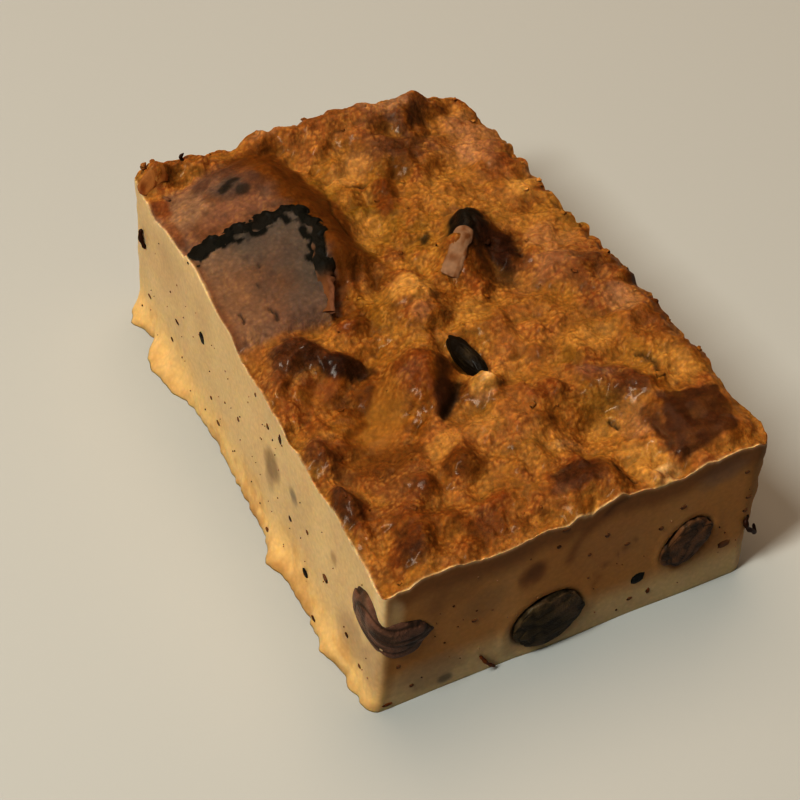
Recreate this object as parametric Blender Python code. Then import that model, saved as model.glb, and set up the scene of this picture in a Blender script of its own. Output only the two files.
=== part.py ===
"""A cut slab of baked bread pudding: a dense custard block with smooth cut sides, a browned
craggy top with two torn pieces of bread standing out of it, a ragged foot of base crust along
the left side, and four raisins that are big enough to be pieces of their own.

The frame has +X along the front cut face, +Y along the long side and +Z up. The origin is the
middle of the flat underside.
"""

import math

import bmesh
import bpy
import numpy as np
from mathutils import Vector

MM = 0.001  # every size below is in millimetres, and this turns it into metres

# The slab. The long sides are wider apart at the foot, and the top isn't level.
WIDTH, LENGTH = 67.6, 104.4
CORNER_RADIUS = {"front_left": 1.6, "front_right": 3.0, "back_right": 9.0, "back_left": 1.8}
TOP_AT_CORNER = {"front_left": 27.4, "front_right": 30.4, "back_right": 25.6, "back_left": 28.4}
TOP_CROWN = 0.9
LEFT_LEAN, FRONT_LEAN, RIGHT_BULGE = 1.4, 0.5, 1.1
LEAN_MIDDLE, BULGE_MIDDLE = 0.4, 0.3  # the share of the height where each side is on the plan
SIDE_BAND, END_BAND = 0.20, 0.12  # the outer share of the block that each side's shape moves
WAVE, WAVE_SIZE = 0.35, 11.0  # how far the knife wandered, and over what length
ROUGH, ROUGH_SIZE = 0.7, 5.0  # the same for the crumb of the baked sides
EDGE_FALL, EDGE_FALL_WIDTH = 1.1, 2.4

# The ragged foot of base crust on the left side: how far it stands out at places along the side,
# from front to back, and how high it blends into the cut face.
FOOT_REACH = (
    (-52.0, 0.5),
    (-45.0, 1.6),
    (-38.0, 2.9),
    (-31.0, 1.4),
    (-26.0, 1.8),
    (-17.5, 3.6),
    (-12.0, 1.2),
    (-4.0, 0.9),
    (12.0, 0.8),
    (21.0, 1.3),
    (27.0, 2.6),
    (33.0, 4.4),
    (37.5, 3.6),
    (41.0, 1.2),
    (47.0, 3.3),
    (51.0, 0.8),
)
FOOT_HEIGHT, FOOT_FALL = 3.0, 1.4

# Cells of the block along each side. A crag needs two or three of them.
CELLS_X, CELLS_Y, CELLS_Z = 38, 58, 8

# Crags of the top: x, y, half length, half width, turn in degrees, rise. Each falls more
# steeply on its right than on its left, by this share of the width.
RIGHT_FLANK = 0.7
CRAG_BLUNTNESS = 2.6
CRAGS = {
    "back_mound": (1.0, 46.5, 12.0, 5.5, 0, 2.2),
    "back_rim": (-4.0, 50.8, 19.0, 4.6, 0, 3.2),
    "back_left_rim": (-24.5, 51.5, 11.0, 3.6, 0, 3.2),
    "back_right_rim": (18.0, 51.0, 14.0, 5.4, 0, 4.2),
    "brown_mound": (14.5, 42.5, 9.5, 8.5, 20, 3.6),
    "back_right_hump": (27.0, 36.0, 6.0, 8.0, 0, 1.3),
    "red_ridge": (6.4, 29.5, 5.0, 2.6, 70, 1.9),
    "long_valley": (1.5, 20.5, 11.0, 4.0, 50, -1.7),
    "charred_ridge": (12.4, 10.4, 8.0, 4.2, 51, 3.9),
    "charred_tip": (15.4, 14.6, 3.6, 3.4, 51, 1.7),
    "orange_mound": (-1.4, 1.8, 8.0, 5.2, 80, 2.7),
    "right_hump": (28.5, -6.0, 9.0, 6.0, 90, 2.5),
    "right_front_hump": (30.0, -24.0, 8.0, 5.0, 90, 2.7),
    "dark_lump": (-24.6, -1.8, 4.6, 3.6, 20, 3.0),
    "dark_lump_edge": (-30.2, -6.0, 3.2, 2.8, 0, 1.3),
    "dark_lump_low": (-19.2, -6.8, 3.4, 2.8, -20, 1.9),
    "glazed_lump": (-8.4, -15.8, 6.4, 5.2, 65, 4.2),
    "tan_tip": (-0.6, -23.0, 3.2, 2.8, 0, 1.9),
    "orange_run": (1.5, -30.5, 6.5, 4.5, 60, 2.2),
    "rust_lump": (8.2, -27.6, 4.2, 3.4, 0, 2.2),
    "gold_hollow": (-20.0, -21.0, 8.5, 5.5, 60, -2.2),
    "red_lump": (19.8, -30.8, 6.4, 3.6, -40, 2.6),
    "olive_hollow": (13.0, -37.0, 5.5, 4.0, 30, -1.8),
    "bread_cube": (26.2, -44.2, 7.4, 7.2, 8, 2.6),
    "front_lump": (5.8, -46.6, 4.8, 4.2, 0, 2.3),
    "left_knob": (-30.4, -22.8, 3.2, 3.0, 0, 1.8),
    "left_knob_front": (-31.0, -34.2, 3.8, 2.8, 90, 2.1),
    "rust_patch": (-18.0, -34.5, 6.5, 5.0, 30, 1.5),
    "red_knob": (-11.2, -34.6, 3.8, 3.2, 60, 2.0),
    "corner_knob": (-24.4, -46.0, 5.0, 3.4, 80, 1.8),
}

# Smaller crumb over the whole top: size of the lumps, and how far they stand out.
CRUMB_SIZES = ((7.5, 1.0), (3.6, 0.75))
CRUMB_SEED, WAVE_SEED, ROUGH_SEED = 3.0, 5.0, 7.0

# The heel of bread at the back left. It climbs from the left side to a crest along its right
# edge, and rolls over from there down to the crumb.
HEEL_BACK, HEEL_BACK_DRAW, HEEL_BACK_ROUND, HEEL_BACK_FALL = 47.6, 4.0, 10.0, 3.0
HEEL_FRONT, HEEL_FRONT_BLEND = 8.0, 8.0
HEEL_CREST, HEEL_CREST_DRAW = -13.4, 0.10
HEEL_TOP_LEFT, HEEL_TOP_CREST = 30.0, 34.0
HEEL_RIGHT_FALL, HEEL_BACK_BLEND = 9.0, 4.5

# The torn slice that lies over the front of the heel and lifts to a free rim. The rim is three
# straight runs in plan, each by a point on it and the way that it faces, in degrees from +X.
SLICE_RIM = (((-20.0, 27.3), 92.0), ((-10.5, 23.4), 22.0), ((-11.6, 14.0), -19.0))
SLICE_LEFT, SLICE_FRONT = -34.0, 1.5
SLICE_TOP_FRONT, SLICE_TOP_LEFT, SLICE_TOP_RIM = 29.8, 31.4, 35.0
SLICE_LIFT = 0.8  # the power of the climb from its front to its rim: below 1 it levels off
SLICE_EDGE = 0.9
SLICE_FRONT_BLEND = 5.0

# Raisins. Each lies in a pocket with a gap of air all round, so that it is its own solid.
POCKET_GAP = 0.32
RAISIN_AROUND, RAISIN_RINGS = 22, 14
RAISIN_BLUNTNESS = 2.5
WRINKLE, WRINKLE_SIZE, WRINKLE_SQUEEZE = 0.07, 0.8, 2.4

# The two raisins of the front face were cut by the knife: past this share of their depth
# they stand out by only this much of their own shape.
KNIFE_DEPTH, KNIFE_LEFT = 0.3, 0.2
FRONT_RAISIN = {"at": (-4.6, -51.7, 7.2), "half": (6.1, 3.4, 5.1), "turn": -22}
RIGHT_RAISIN = {"at": (20.5, -51.7, 12.8), "half": (5.0, 3.0, 3.9), "turn": -53}
TOP_RAISIN = {"at": (0.0, -14.2, 28.6), "half": (4.8, 2.0, 1.9), "turn": 100}

# The raisin folded round the front left corner: a hyperbola whose arms run along the two cut
# faces, and how deep its middle line lies in them.
FOLDED_RAISIN = {"half": (8.1, 2.2, 4.8), "corner": (-33.5, -52.2), "deep": 1.1, "up": 16.9}
FOLD_TIGHTNESS = 1.3
FOLD_DROOP = 1.1


def clear_scene():
    """Empty the scene, so that only the pudding is in it."""
    for thing in list(bpy.data.objects):
        bpy.data.objects.remove(thing, do_unlink=True)


def collection_named(name):
    """A new collection in the scene."""
    made = bpy.data.collections.new(name)
    bpy.context.scene.collection.children.link(made)
    return made


def material(name, colour, roughness):
    """A plain Principled finish for one kind of food."""
    made = bpy.data.materials.new(name)
    made.use_nodes = True
    shader = made.node_tree.nodes["Principled BSDF"]
    shader.inputs["Base Color"].default_value = (*colour, 1.0)
    shader.inputs["Roughness"].default_value = roughness
    shader.inputs["Metallic"].default_value = 0.0
    return made


def smoothstep(value):
    """0 below 0, 1 above 1, and a smooth rise between."""
    t = np.clip(value, 0.0, 1.0)
    return t * t * (3.0 - 2.0 * t)


def lattice_value(i, j, k, seed):
    """A repeatable number from -1 to 1 for each corner of a lattice: the fraction of a large sine."""
    turned = np.sin(i * 127.1 + j * 311.7 + k * 74.7 + seed * 53.3) * 43758.5453
    return 2.0 * (turned - np.floor(turned)) - 1.0


def soft_noise(x, y, z, size, seed):
    """Lattice numbers blended smoothly over cells of the given size."""
    x, y, z = x / size, y / size, z / size
    i, j, k = np.floor(x), np.floor(y), np.floor(z)
    u, v, w = smoothstep(x - i), smoothstep(y - j), smoothstep(z - k)
    total = np.zeros_like(x)
    for a in (0, 1):
        for b in (0, 1):
            for c in (0, 1):
                share = (u if a else 1 - u) * (v if b else 1 - v) * (w if c else 1 - w)
                total += share * lattice_value(i + a, j + b, k + c, seed)
    return total


def oval(x, y, middle_x, middle_y, half_long, half_wide, turn):
    """How far out of a turned oval a place is: 0 at its middle and 1 on its edge."""
    c, s = math.cos(math.radians(turn)), math.sin(math.radians(turn))
    along = (x - middle_x) * c + (y - middle_y) * s
    across = (y - middle_y) * c - (x - middle_x) * s
    return np.hypot(along / half_long, across / half_wide)


def crag(x, y, middle_x, middle_y, half_long, half_wide, turn):
    """The shape of a crag: 1 at its middle, 0 well outside it, and steeper on its right."""
    across = x - middle_x
    across = np.where(across > 0, across / RIGHT_FLANK, across)
    return np.exp(-oval(across, y - middle_y, 0, 0, half_long, half_wide, turn) ** CRAG_BLUNTNESS)


def level_top(x, y):
    """The top before its crags: the four corner heights blended, with a low crown.

    The crown is 16u(1-u)v(1-v) of its height, which is 1 in the middle and 0 along the sides.
    """
    u = np.clip(x / WIDTH + 0.5, 0, 1)
    v = np.clip(y / LENGTH + 0.5, 0, 1)
    front = TOP_AT_CORNER["front_left"] * (1 - u) + TOP_AT_CORNER["front_right"] * u
    back = TOP_AT_CORNER["back_left"] * (1 - u) + TOP_AT_CORNER["back_right"] * u
    crown = TOP_CROWN * 16 * u * (1 - u) * v * (1 - v)
    return front * (1 - v) + back * v + crown


def past_rim(x, y):
    """How far a place lies beyond the torn slice's rim, in millimetres: below 0 is on the slice."""
    beyond = []
    for (rim_x, rim_y), facing in SLICE_RIM:
        c, s = math.cos(math.radians(facing)), math.sin(math.radians(facing))
        beyond.append((x - rim_x) * c + (y - rim_y) * s)
    return np.max(beyond, axis=0)


def slice_height(x, y):
    """Top of the torn slice, and its share from 1 on it to 0 past its free rim."""
    (_, back), (right, _) = SLICE_RIM[0][0], SLICE_RIM[1][0]
    forward = np.clip((y - SLICE_FRONT) / (back - SLICE_FRONT), 0, 1)
    across = smoothstep((x - SLICE_LEFT) / (right - SLICE_LEFT))
    at_rim = SLICE_TOP_LEFT * (1 - across) + SLICE_TOP_RIM * across
    top = SLICE_TOP_FRONT + (at_rim - SLICE_TOP_FRONT) * forward**SLICE_LIFT
    share = smoothstep(0.5 - past_rim(x, y) / SLICE_EDGE)
    return top, share * smoothstep((y - SLICE_FRONT) / SLICE_FRONT_BLEND)


def heel_height(x, y):
    """Top of the heel of bread, and its share from 1 on it to 0 past its crest and its back."""
    crest = HEEL_CREST + HEEL_CREST_DRAW * (HEEL_BACK - y)
    climb = np.clip((x + WIDTH / 2) / (crest + WIDTH / 2), 0, 1)
    back = HEEL_BACK - HEEL_BACK_DRAW * (1 - climb)
    top = HEEL_TOP_LEFT + (HEEL_TOP_CREST - HEEL_TOP_LEFT) * np.sin(climb * math.pi / 2)
    top = top - HEEL_BACK_FALL * smoothstep((y - back) / HEEL_BACK_ROUND + 1)
    share = smoothstep(1 - (x - crest) / HEEL_RIGHT_FALL) * smoothstep((back - y) / HEEL_BACK_BLEND + 0.5)
    return top, share * smoothstep((y - HEEL_FRONT) / HEEL_FRONT_BLEND)


def top_height(x, y):
    """Height of the browned top over the underside."""
    height = level_top(x, y)
    for place in CRAGS.values():
        *where, rise = place
        height += rise * crag(x, y, *where)
    for size, share in CRUMB_SIZES:
        height += share * soft_noise(x, y, 0 * x, size, CRUMB_SEED)
    for top, share in (heel_height(x, y), slice_height(x, y)):
        height = height * (1 - share) + top * share
    rough_side = np.minimum(WIDTH / 2 - x, LENGTH / 2 - y) / EDGE_FALL_WIDTH
    return height - EDGE_FALL * (1 - smoothstep(rough_side))


def round_corners(x, y):
    """Plan of the block with each upright edge rounded to its own radius."""
    for name, radius in CORNER_RADIUS.items():
        way_x = -1 if "left" in name else 1
        way_y = -1 if "front" in name else 1
        middle_x, middle_y = way_x * (WIDTH / 2 - radius), way_y * (LENGTH / 2 - radius)
        dx, dy = x - middle_x, y - middle_y
        reach = np.hypot(dx, dy)
        beyond = (dx * way_x > 0) & (dy * way_y > 0) & (reach > radius)
        shrink = np.where(beyond, radius / np.maximum(reach, 1e-6), 1.0)
        x, y = middle_x + dx * shrink, middle_y + dy * shrink
    return x, y


def foot_flare(y, z):
    """How far the ragged foot stands out of the left side, most of all at the underside."""
    places, reaches = zip(*FOOT_REACH)
    return np.interp(y, places, reaches) * np.exp(-((z / FOOT_HEIGHT) ** FOOT_FALL))


def shape_block(points):
    """Carry the points of a unit block, -0.5 to 0.5 each way, onto the pudding."""
    u, v, w = points.T
    x, y = round_corners(u * WIDTH, v * LENGTH)
    up = w + 0.5
    z = up * top_height(x, y)
    left = smoothstep((-2 * u - 1) / SIDE_BAND + 1)
    right = smoothstep((2 * u - 1) / SIDE_BAND + 1)
    front = smoothstep((-2 * v - 1) / END_BAND + 1)
    back = smoothstep((2 * v - 1) / END_BAND + 1)
    wave = WAVE * soft_noise(x, y, z, WAVE_SIZE, WAVE_SEED)
    rough = ROUGH * soft_noise(x, y, z, ROUGH_SIZE, ROUGH_SEED)
    x = x + left * (LEFT_LEAN * (up - LEAN_MIDDLE) + wave - foot_flare(y, z))
    x = x + right * (RIGHT_BULGE * (up - BULGE_MIDDLE) + rough)
    y = y + front * (FRONT_LEAN * (up - LEAN_MIDDLE) + wave / 2) + back * rough
    return np.stack([x, y, z], axis=1)


def make_pudding(collection, finish):
    """The custard block: a cube cut into cells, its underside left as one flat face."""
    bm = bmesh.new()
    bmesh.ops.create_cube(bm, size=1.0)
    for axis, cells in enumerate((CELLS_X, CELLS_Y, CELLS_Z)):
        along = [e for e in bm.edges if abs((e.verts[0].co - e.verts[1].co)[axis]) > 1e-6]
        bmesh.ops.subdivide_edges(bm, edges=along, cuts=cells - 1, use_grid_fill=True)
    under = [f for f in bm.faces if f.calc_center_median().z < -0.499]
    bmesh.ops.dissolve_faces(bm, faces=under, use_verts=False)
    points = shape_block(np.array([v.co for v in bm.verts]))
    for vert, point in zip(bm.verts, points):
        vert.co = Vector(point) * MM
    bmesh.ops.recalc_face_normals(bm, faces=bm.faces)
    return object_of(bm, "pudding", collection, finish)


def object_of(bm, name, collection, finish=None):
    """A named object from a finished mesh."""
    mesh = bpy.data.meshes.new(name)
    bm.to_mesh(mesh)
    bm.free()
    made = bpy.data.objects.new(name, mesh)
    collection.objects.link(made)
    if finish:
        mesh.materials.append(finish)
    return made


def wrinkled_ball(seed):
    """A blunt unit ball with the creases of a dried grape, as a mesh still to be shaped."""
    bm = bmesh.new()
    bmesh.ops.create_uvsphere(bm, u_segments=RAISIN_AROUND, v_segments=RAISIN_RINGS, radius=1.0)
    points = np.array([v.co for v in bm.verts])
    reach = (np.abs(points) ** RAISIN_BLUNTNESS).sum(axis=1) ** (1 / RAISIN_BLUNTNESS)
    squeezed = points * (1.0, WRINKLE_SQUEEZE, WRINKLE_SQUEEZE)
    creases = soft_noise(*squeezed.T, WRINKLE_SIZE, seed)
    for vert, far, crease in zip(bm.verts, reach, creases):
        vert.co *= (1.0 + WRINKLE * crease) / far
    return bm


def grow(bm, gap):
    """Move every face out by a gap, for the cutter that leaves air round a raisin."""
    bm.normal_update()
    outward = [(v, v.normal.copy()) for v in bm.verts]
    for vert, normal in outward:
        vert.co += normal * gap


def set_raisin(name, spec, seed, knifed, parts, cutters, finish):
    """A raisin and its cutter: a wrinkled oval, turned and put in its place.

    A knifed one is flattened on its front and turned about Y. The other lies on the top and is
    turned about Z.
    """
    made = []
    for label, gap, collection in ((name, 0.0, parts), (name + "_pocket", POCKET_GAP, cutters)):
        bm = wrinkled_ball(seed)
        for vert in bm.verts:
            if knifed and vert.co.y < -KNIFE_DEPTH:
                vert.co.y = -KNIFE_DEPTH + KNIFE_LEFT * (vert.co.y + KNIFE_DEPTH)
            vert.co = Vector(c * half for c, half in zip(vert.co, spec["half"]))
        grow(bm, gap)
        for vert in bm.verts:
            vert.co *= MM
        raisin = object_of(bm, label, collection, finish)
        raisin.location = Vector(spec["at"]) * MM
        turn = math.radians(spec["turn"])
        raisin.rotation_euler = (0.0, turn, 0.0) if knifed else (0.0, 0.0, turn)
        made.append(raisin)
    return made


def fold_round_corner(point):
    """Carry a straight raisin, long in X and thick in Y, round the slab's front left corner.

    Its middle line becomes a hyperbola with one arm along each face, and its thickness is
    laid off along the line's outward normal.
    """
    along = point.x
    root = math.hypot(along, FOLD_TIGHTNESS)
    right = (root + along) / 2 + FOLDED_RAISIN["deep"]
    back = (root - along) / 2 + FOLDED_RAISIN["deep"]
    run_right, run_back = (along / root + 1) / 2, (along / root - 1) / 2
    length = math.hypot(run_right, run_back)
    corner_x, corner_y = FOLDED_RAISIN["corner"]
    x = corner_x + right - point.y * run_back / length
    y = corner_y + back + point.y * run_right / length
    return Vector((x, y, FOLDED_RAISIN["up"] + point.z - FOLD_DROOP * point.x / root))


def set_folded_raisin(name, seed, parts, cutters, finish):
    """The long raisin that the knife folded round the corner, and its cutter."""
    made = []
    for label, gap, collection in ((name, 0.0, parts), (name + "_pocket", POCKET_GAP, cutters)):
        bm = wrinkled_ball(seed)
        for vert in bm.verts:
            vert.co = fold_round_corner(Vector(c * h for c, h in zip(vert.co, FOLDED_RAISIN["half"])))
        grow(bm, gap)
        for vert in bm.verts:
            vert.co *= MM
        made.append(object_of(bm, label, collection, finish))
    return made


def cut_pocket(body, cutter):
    """Leave a pocket in the custard where a raisin sits."""
    cutter.hide_render = True
    cutter.display_type = "WIRE"
    pocket = body.modifiers.new(cutter.name, "BOOLEAN")
    pocket.operation = "DIFFERENCE"
    pocket.object = cutter


def main():
    clear_scene()
    parts = collection_named("bread_pudding")
    cutters = collection_named("cutters")
    baked = material("baked_custard", (0.42, 0.19, 0.05), 0.5)
    dried = material("raisin_skin", (0.03, 0.012, 0.008), 0.35)
    pudding = make_pudding(parts, baked)
    raisins = (
        set_raisin("raisin_front", FRONT_RAISIN, 1.0, True, parts, cutters, dried),
        set_raisin("raisin_right", RIGHT_RAISIN, 2.0, True, parts, cutters, dried),
        set_raisin("raisin_top", TOP_RAISIN, 3.0, False, parts, cutters, dried),
        set_folded_raisin("raisin_corner", 4.0, parts, cutters, dried),
    )
    for raisin, cutter in raisins:
        raisin.data.shade_smooth()
        cut_pocket(pudding, cutter)


main()
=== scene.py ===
"""Bread pudding slice: the looks of a cut slab of baked bread and custard, dressed over its CAD.

The frame has +X along the front cut face, +Y along the long side and +Z up, and the origin is the
middle of the flat underside. Every size here is in millimetres until a mesh is made.
"""

import math

import bpy
import numpy as np
from mathutils import Matrix, Vector


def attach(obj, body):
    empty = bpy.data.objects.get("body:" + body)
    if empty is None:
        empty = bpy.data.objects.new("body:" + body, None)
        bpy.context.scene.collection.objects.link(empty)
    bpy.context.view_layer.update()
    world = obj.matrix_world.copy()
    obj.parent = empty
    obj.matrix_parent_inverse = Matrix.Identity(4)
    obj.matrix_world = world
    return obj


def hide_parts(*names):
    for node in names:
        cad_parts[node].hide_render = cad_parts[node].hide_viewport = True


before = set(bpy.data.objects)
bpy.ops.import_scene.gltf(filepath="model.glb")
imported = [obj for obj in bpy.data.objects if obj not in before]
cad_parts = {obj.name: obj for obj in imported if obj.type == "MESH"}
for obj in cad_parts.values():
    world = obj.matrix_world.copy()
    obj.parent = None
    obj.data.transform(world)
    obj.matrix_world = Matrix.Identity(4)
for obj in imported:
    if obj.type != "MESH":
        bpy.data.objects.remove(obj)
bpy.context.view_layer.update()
MM = 0.001


# The camera stands in front of the slab and to its left, looking down at 46 degrees. It is a
# long lens, so the slab's sides draw together only a little.
CAMERA_AT = (-107.371, -206.727, 244.663)
CAMERA_RIGHT = (0.89951, -0.43683, 0.00796)
CAMERA_UP = (0.30777, 0.64648, 0.69810)
CAMERA_BACK = (-0.31010, -0.62550, 0.71595)
LENS = 85.5

scene = bpy.context.scene
camera_data = bpy.data.cameras.new("camera")
camera_data.lens = LENS
camera_data.sensor_width = 36.0
camera_data.clip_start = 0.01
camera = bpy.data.objects.new("camera", camera_data)
scene.collection.objects.link(camera)
turned = Matrix((CAMERA_RIGHT, CAMERA_UP, CAMERA_BACK)).transposed()
camera.matrix_world = Matrix.Translation(Vector(CAMERA_AT) * MM) @ turned.to_4x4()
scene.camera = camera
scene.view_settings.view_transform = "Standard"
scene.view_settings.gamma = 0.72


# The light: one tall soft box, high on the left, that throws a soft shadow to the right, a wide
# weak one overhead, and a warm room all round that fills the shade.
KEY_FROM = (-0.560, -0.128, 0.819)
KEY_FAR, KEY_SIDES, KEY_POWER, KEY_COLOUR = 1.3, (0.22, 0.60), 22.0, (0.97, 1.0, 0.93)
FILL_FROM = (0.14, 0.34, 0.93)
FILL_FAR, FILL_SIDES, FILL_POWER, FILL_COLOUR = 1.2, (1.0, 1.0), 12.5, (1.0, 0.77, 0.55)
ROOM_COLOUR, ROOM_POWER = (1.0, 0.74, 0.52), 0.02


def hang_light(name, towards, far, sides, power, colour):
    """A soft box that faces the slab from a direction: its distance, width and height in metres."""
    data = bpy.data.lights.new(name, "AREA")
    data.shape = "RECTANGLE"
    data.size, data.size_y = sides
    data.energy = power
    data.color = colour
    lamp = bpy.data.objects.new(name, data)
    scene.collection.objects.link(lamp)
    way = Vector(towards).normalized()
    lamp.location = way * far
    lamp.rotation_euler = way.to_track_quat("Z", "Y").to_euler()


hang_light("key_light", KEY_FROM, KEY_FAR, KEY_SIDES, KEY_POWER, KEY_COLOUR)
hang_light("fill_light", FILL_FROM, FILL_FAR, FILL_SIDES, FILL_POWER, FILL_COLOUR)
room = bpy.data.worlds.new("room")
room.use_nodes = True
room.node_tree.nodes["Background"].inputs["Color"].default_value = (*ROOM_COLOUR, 1.0)
room.node_tree.nodes["Background"].inputs["Strength"].default_value = ROOM_POWER
scene.world = room


# The floor: one pale matt sheet, wide enough to fill every view.
FLOOR_HALF = 1500.0
FLOOR_COLOUR = (0.39, 0.39, 0.385)

floor_mesh = bpy.data.meshes.new("floor")
floor_corners = np.array([(-1, -1, 0), (1, -1, 0), (1, 1, 0), (-1, 1, 0)]) * FLOOR_HALF * MM
floor_mesh.from_pydata(floor_corners.tolist(), [], [(0, 1, 2, 3)])
floor = bpy.data.objects.new("floor", floor_mesh)
scene.collection.objects.link(floor)
floor_finish = bpy.data.materials.new("pale_floor")
floor_finish.use_nodes = True
floor_shader = floor_finish.node_tree.nodes["Principled BSDF"]
floor_shader.inputs["Base Color"].default_value = (*FLOOR_COLOUR, 1.0)
floor_shader.inputs["Roughness"].default_value = 0.7
floor_shader.inputs["Specular IOR Level"].default_value = 0.2
floor_mesh.materials.append(floor_finish)


# The slab itself: bread torn small and set in egg custard, baked in a tin and cut with a knife.
# Its two cut sides are smooth, its top is browned crumb, and its far sides are rough and baked.
# The sizes are the CAD model's own, so the skin lies on the solid.
WIDTH, LENGTH = 67.6, 104.4
CORNER_RADIUS = {"front_left": 1.6, "front_right": 3.0, "back_right": 9.0, "back_left": 1.8}
TOP_AT_CORNER = {"front_left": 27.4, "front_right": 30.4, "back_right": 25.6, "back_left": 28.4}
TOP_CROWN = 0.9
LEFT_LEAN, FRONT_LEAN, RIGHT_BULGE = 1.4, 0.5, 1.1
EDGE_FALL, EDGE_FALL_WIDTH = 1.1, 2.4
# The foot: places along the left side, and how far it stands out at each.
FOOT_REACH = (
    (-52.0, 0.5), (-45.0, 1.6), (-38.0, 2.9), (-31.0, 1.4), (-26.0, 1.8), (-17.5, 3.6),
    (-12.0, 1.2), (-4.0, 0.9), (12.0, 0.8), (21.0, 1.3), (27.0, 2.6), (33.0, 4.4),
    (37.5, 3.6), (41.0, 1.2), (47.0, 3.3), (51.0, 0.8),
)
FOOT_HEIGHT = 3.0
RIGHT_FLANK = 0.7
# Each crag of the top: x and y of its middle, half long, half wide, turn in degrees, and rise.
CRAGS = {
    "back_mound": (1.0, 46.5, 12.0, 5.5, 0, 2.2),
    "back_rim": (-4.0, 50.8, 19.0, 4.6, 0, 3.2),
    "back_left_rim": (-24.5, 51.5, 11.0, 3.6, 0, 3.2),
    "back_right_rim": (18.0, 51.0, 14.0, 5.4, 0, 4.2),
    "brown_mound": (14.5, 42.5, 9.5, 8.5, 20, 3.6),
    "back_right_hump": (27.0, 36.0, 6.0, 8.0, 0, 1.3),
    "red_ridge": (6.4, 29.5, 5.0, 2.6, 70, 1.9),
    "long_valley": (1.5, 20.5, 11.0, 4.0, 50, -1.7),
    "charred_ridge": (12.4, 10.4, 8.0, 4.2, 51, 3.9),
    "charred_tip": (15.4, 14.6, 3.6, 3.4, 51, 1.7),
    "orange_mound": (-1.4, 1.8, 8.0, 5.2, 80, 2.7),
    "right_hump": (28.5, -6.0, 9.0, 6.0, 90, 2.5),
    "right_front_hump": (30.0, -24.0, 8.0, 5.0, 90, 2.7),
    "dark_lump": (-24.6, -1.8, 4.6, 3.6, 20, 3.0),
    "dark_lump_edge": (-30.2, -6.0, 3.2, 2.8, 0, 1.3),
    "dark_lump_low": (-19.2, -6.8, 3.4, 2.8, -20, 1.9),
    "glazed_lump": (-8.4, -15.8, 6.4, 5.2, 65, 4.2),
    "tan_tip": (-0.6, -23.0, 3.2, 2.8, 0, 1.9),
    "orange_run": (1.5, -30.5, 6.5, 4.5, 60, 2.2),
    "rust_lump": (8.2, -27.6, 4.2, 3.4, 0, 2.2),
    "gold_hollow": (-20.0, -21.0, 8.5, 5.5, 60, -2.2),
    "red_lump": (19.8, -30.8, 6.4, 3.6, -40, 2.6),
    "olive_hollow": (13.0, -37.0, 5.5, 4.0, 30, -1.8),
    "bread_cube": (26.2, -44.2, 7.4, 7.2, 8, 2.6),
    "front_lump": (5.8, -46.6, 4.8, 4.2, 0, 2.3),
    "left_knob": (-30.4, -22.8, 3.2, 3.0, 0, 1.8),
    "left_knob_front": (-31.0, -34.2, 3.8, 2.8, 90, 2.1),
    "rust_patch": (-18.0, -34.5, 6.5, 5.0, 30, 1.5),
    "red_knob": (-11.2, -34.6, 3.8, 3.2, 60, 2.0),
    "corner_knob": (-24.4, -46.0, 5.0, 3.4, 80, 1.8),
}
CRUMB_SIZES = ((7.5, 1.0), (3.6, 0.75))
# The heel of bread, then the torn slice. The slice's free rim has three straight stretches: a
# place on each, and the way that it faces, in degrees from +X.
HEEL_BACK, HEEL_BACK_DRAW, HEEL_BACK_ROUND, HEEL_BACK_FALL = 47.6, 4.0, 10.0, 3.0
HEEL_FRONT, HEEL_FRONT_BLEND = 8.0, 8.0
HEEL_CREST, HEEL_CREST_DRAW = -13.4, 0.10
HEEL_TOP_LEFT, HEEL_TOP_CREST = 30.0, 34.0
HEEL_RIGHT_FALL, HEEL_BACK_BLEND = 9.0, 4.5
SLICE_RIM = (((-20.0, 27.3), 92.0), ((-10.5, 23.4), 22.0), ((-11.6, 14.0), -19.0))
SLICE_LEFT, SLICE_FRONT = -34.0, 1.5
SLICE_TOP_FRONT, SLICE_TOP_LEFT, SLICE_TOP_RIM = 29.8, 31.4, 35.0
SLICE_EDGE = 0.9
SLICE_FRONT_BLEND = 5.0


def smoothstep(value):
    """0 below 0, 1 above 1, and 3tt - 2ttt between."""
    t = np.clip(value, 0.0, 1.0)
    return t * t * (3.0 - 2.0 * t)


def lattice_value(i, j, k, seed):
    """A repeatable number from -1 to 1 for each corner of a lattice: the fraction of a large sine."""
    turned = np.sin(i * 127.1 + j * 311.7 + k * 74.7 + seed * 53.3) * 43758.5453
    return 2.0 * (turned - np.floor(turned)) - 1.0


def soft_noise(x, y, z, size, seed):
    """Lattice numbers blended smoothly over cells of the given size."""
    x, y, z = x / size, y / size, z / size
    i, j, k = np.floor(x), np.floor(y), np.floor(z)
    u, v, w = smoothstep(x - i), smoothstep(y - j), smoothstep(z - k)
    total = np.zeros_like(x)
    for a in (0, 1):
        for b in (0, 1):
            for c in (0, 1):
                share = (u if a else 1 - u) * (v if b else 1 - v) * (w if c else 1 - w)
                total += share * lattice_value(i + a, j + b, k + c, seed)
    return total


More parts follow.
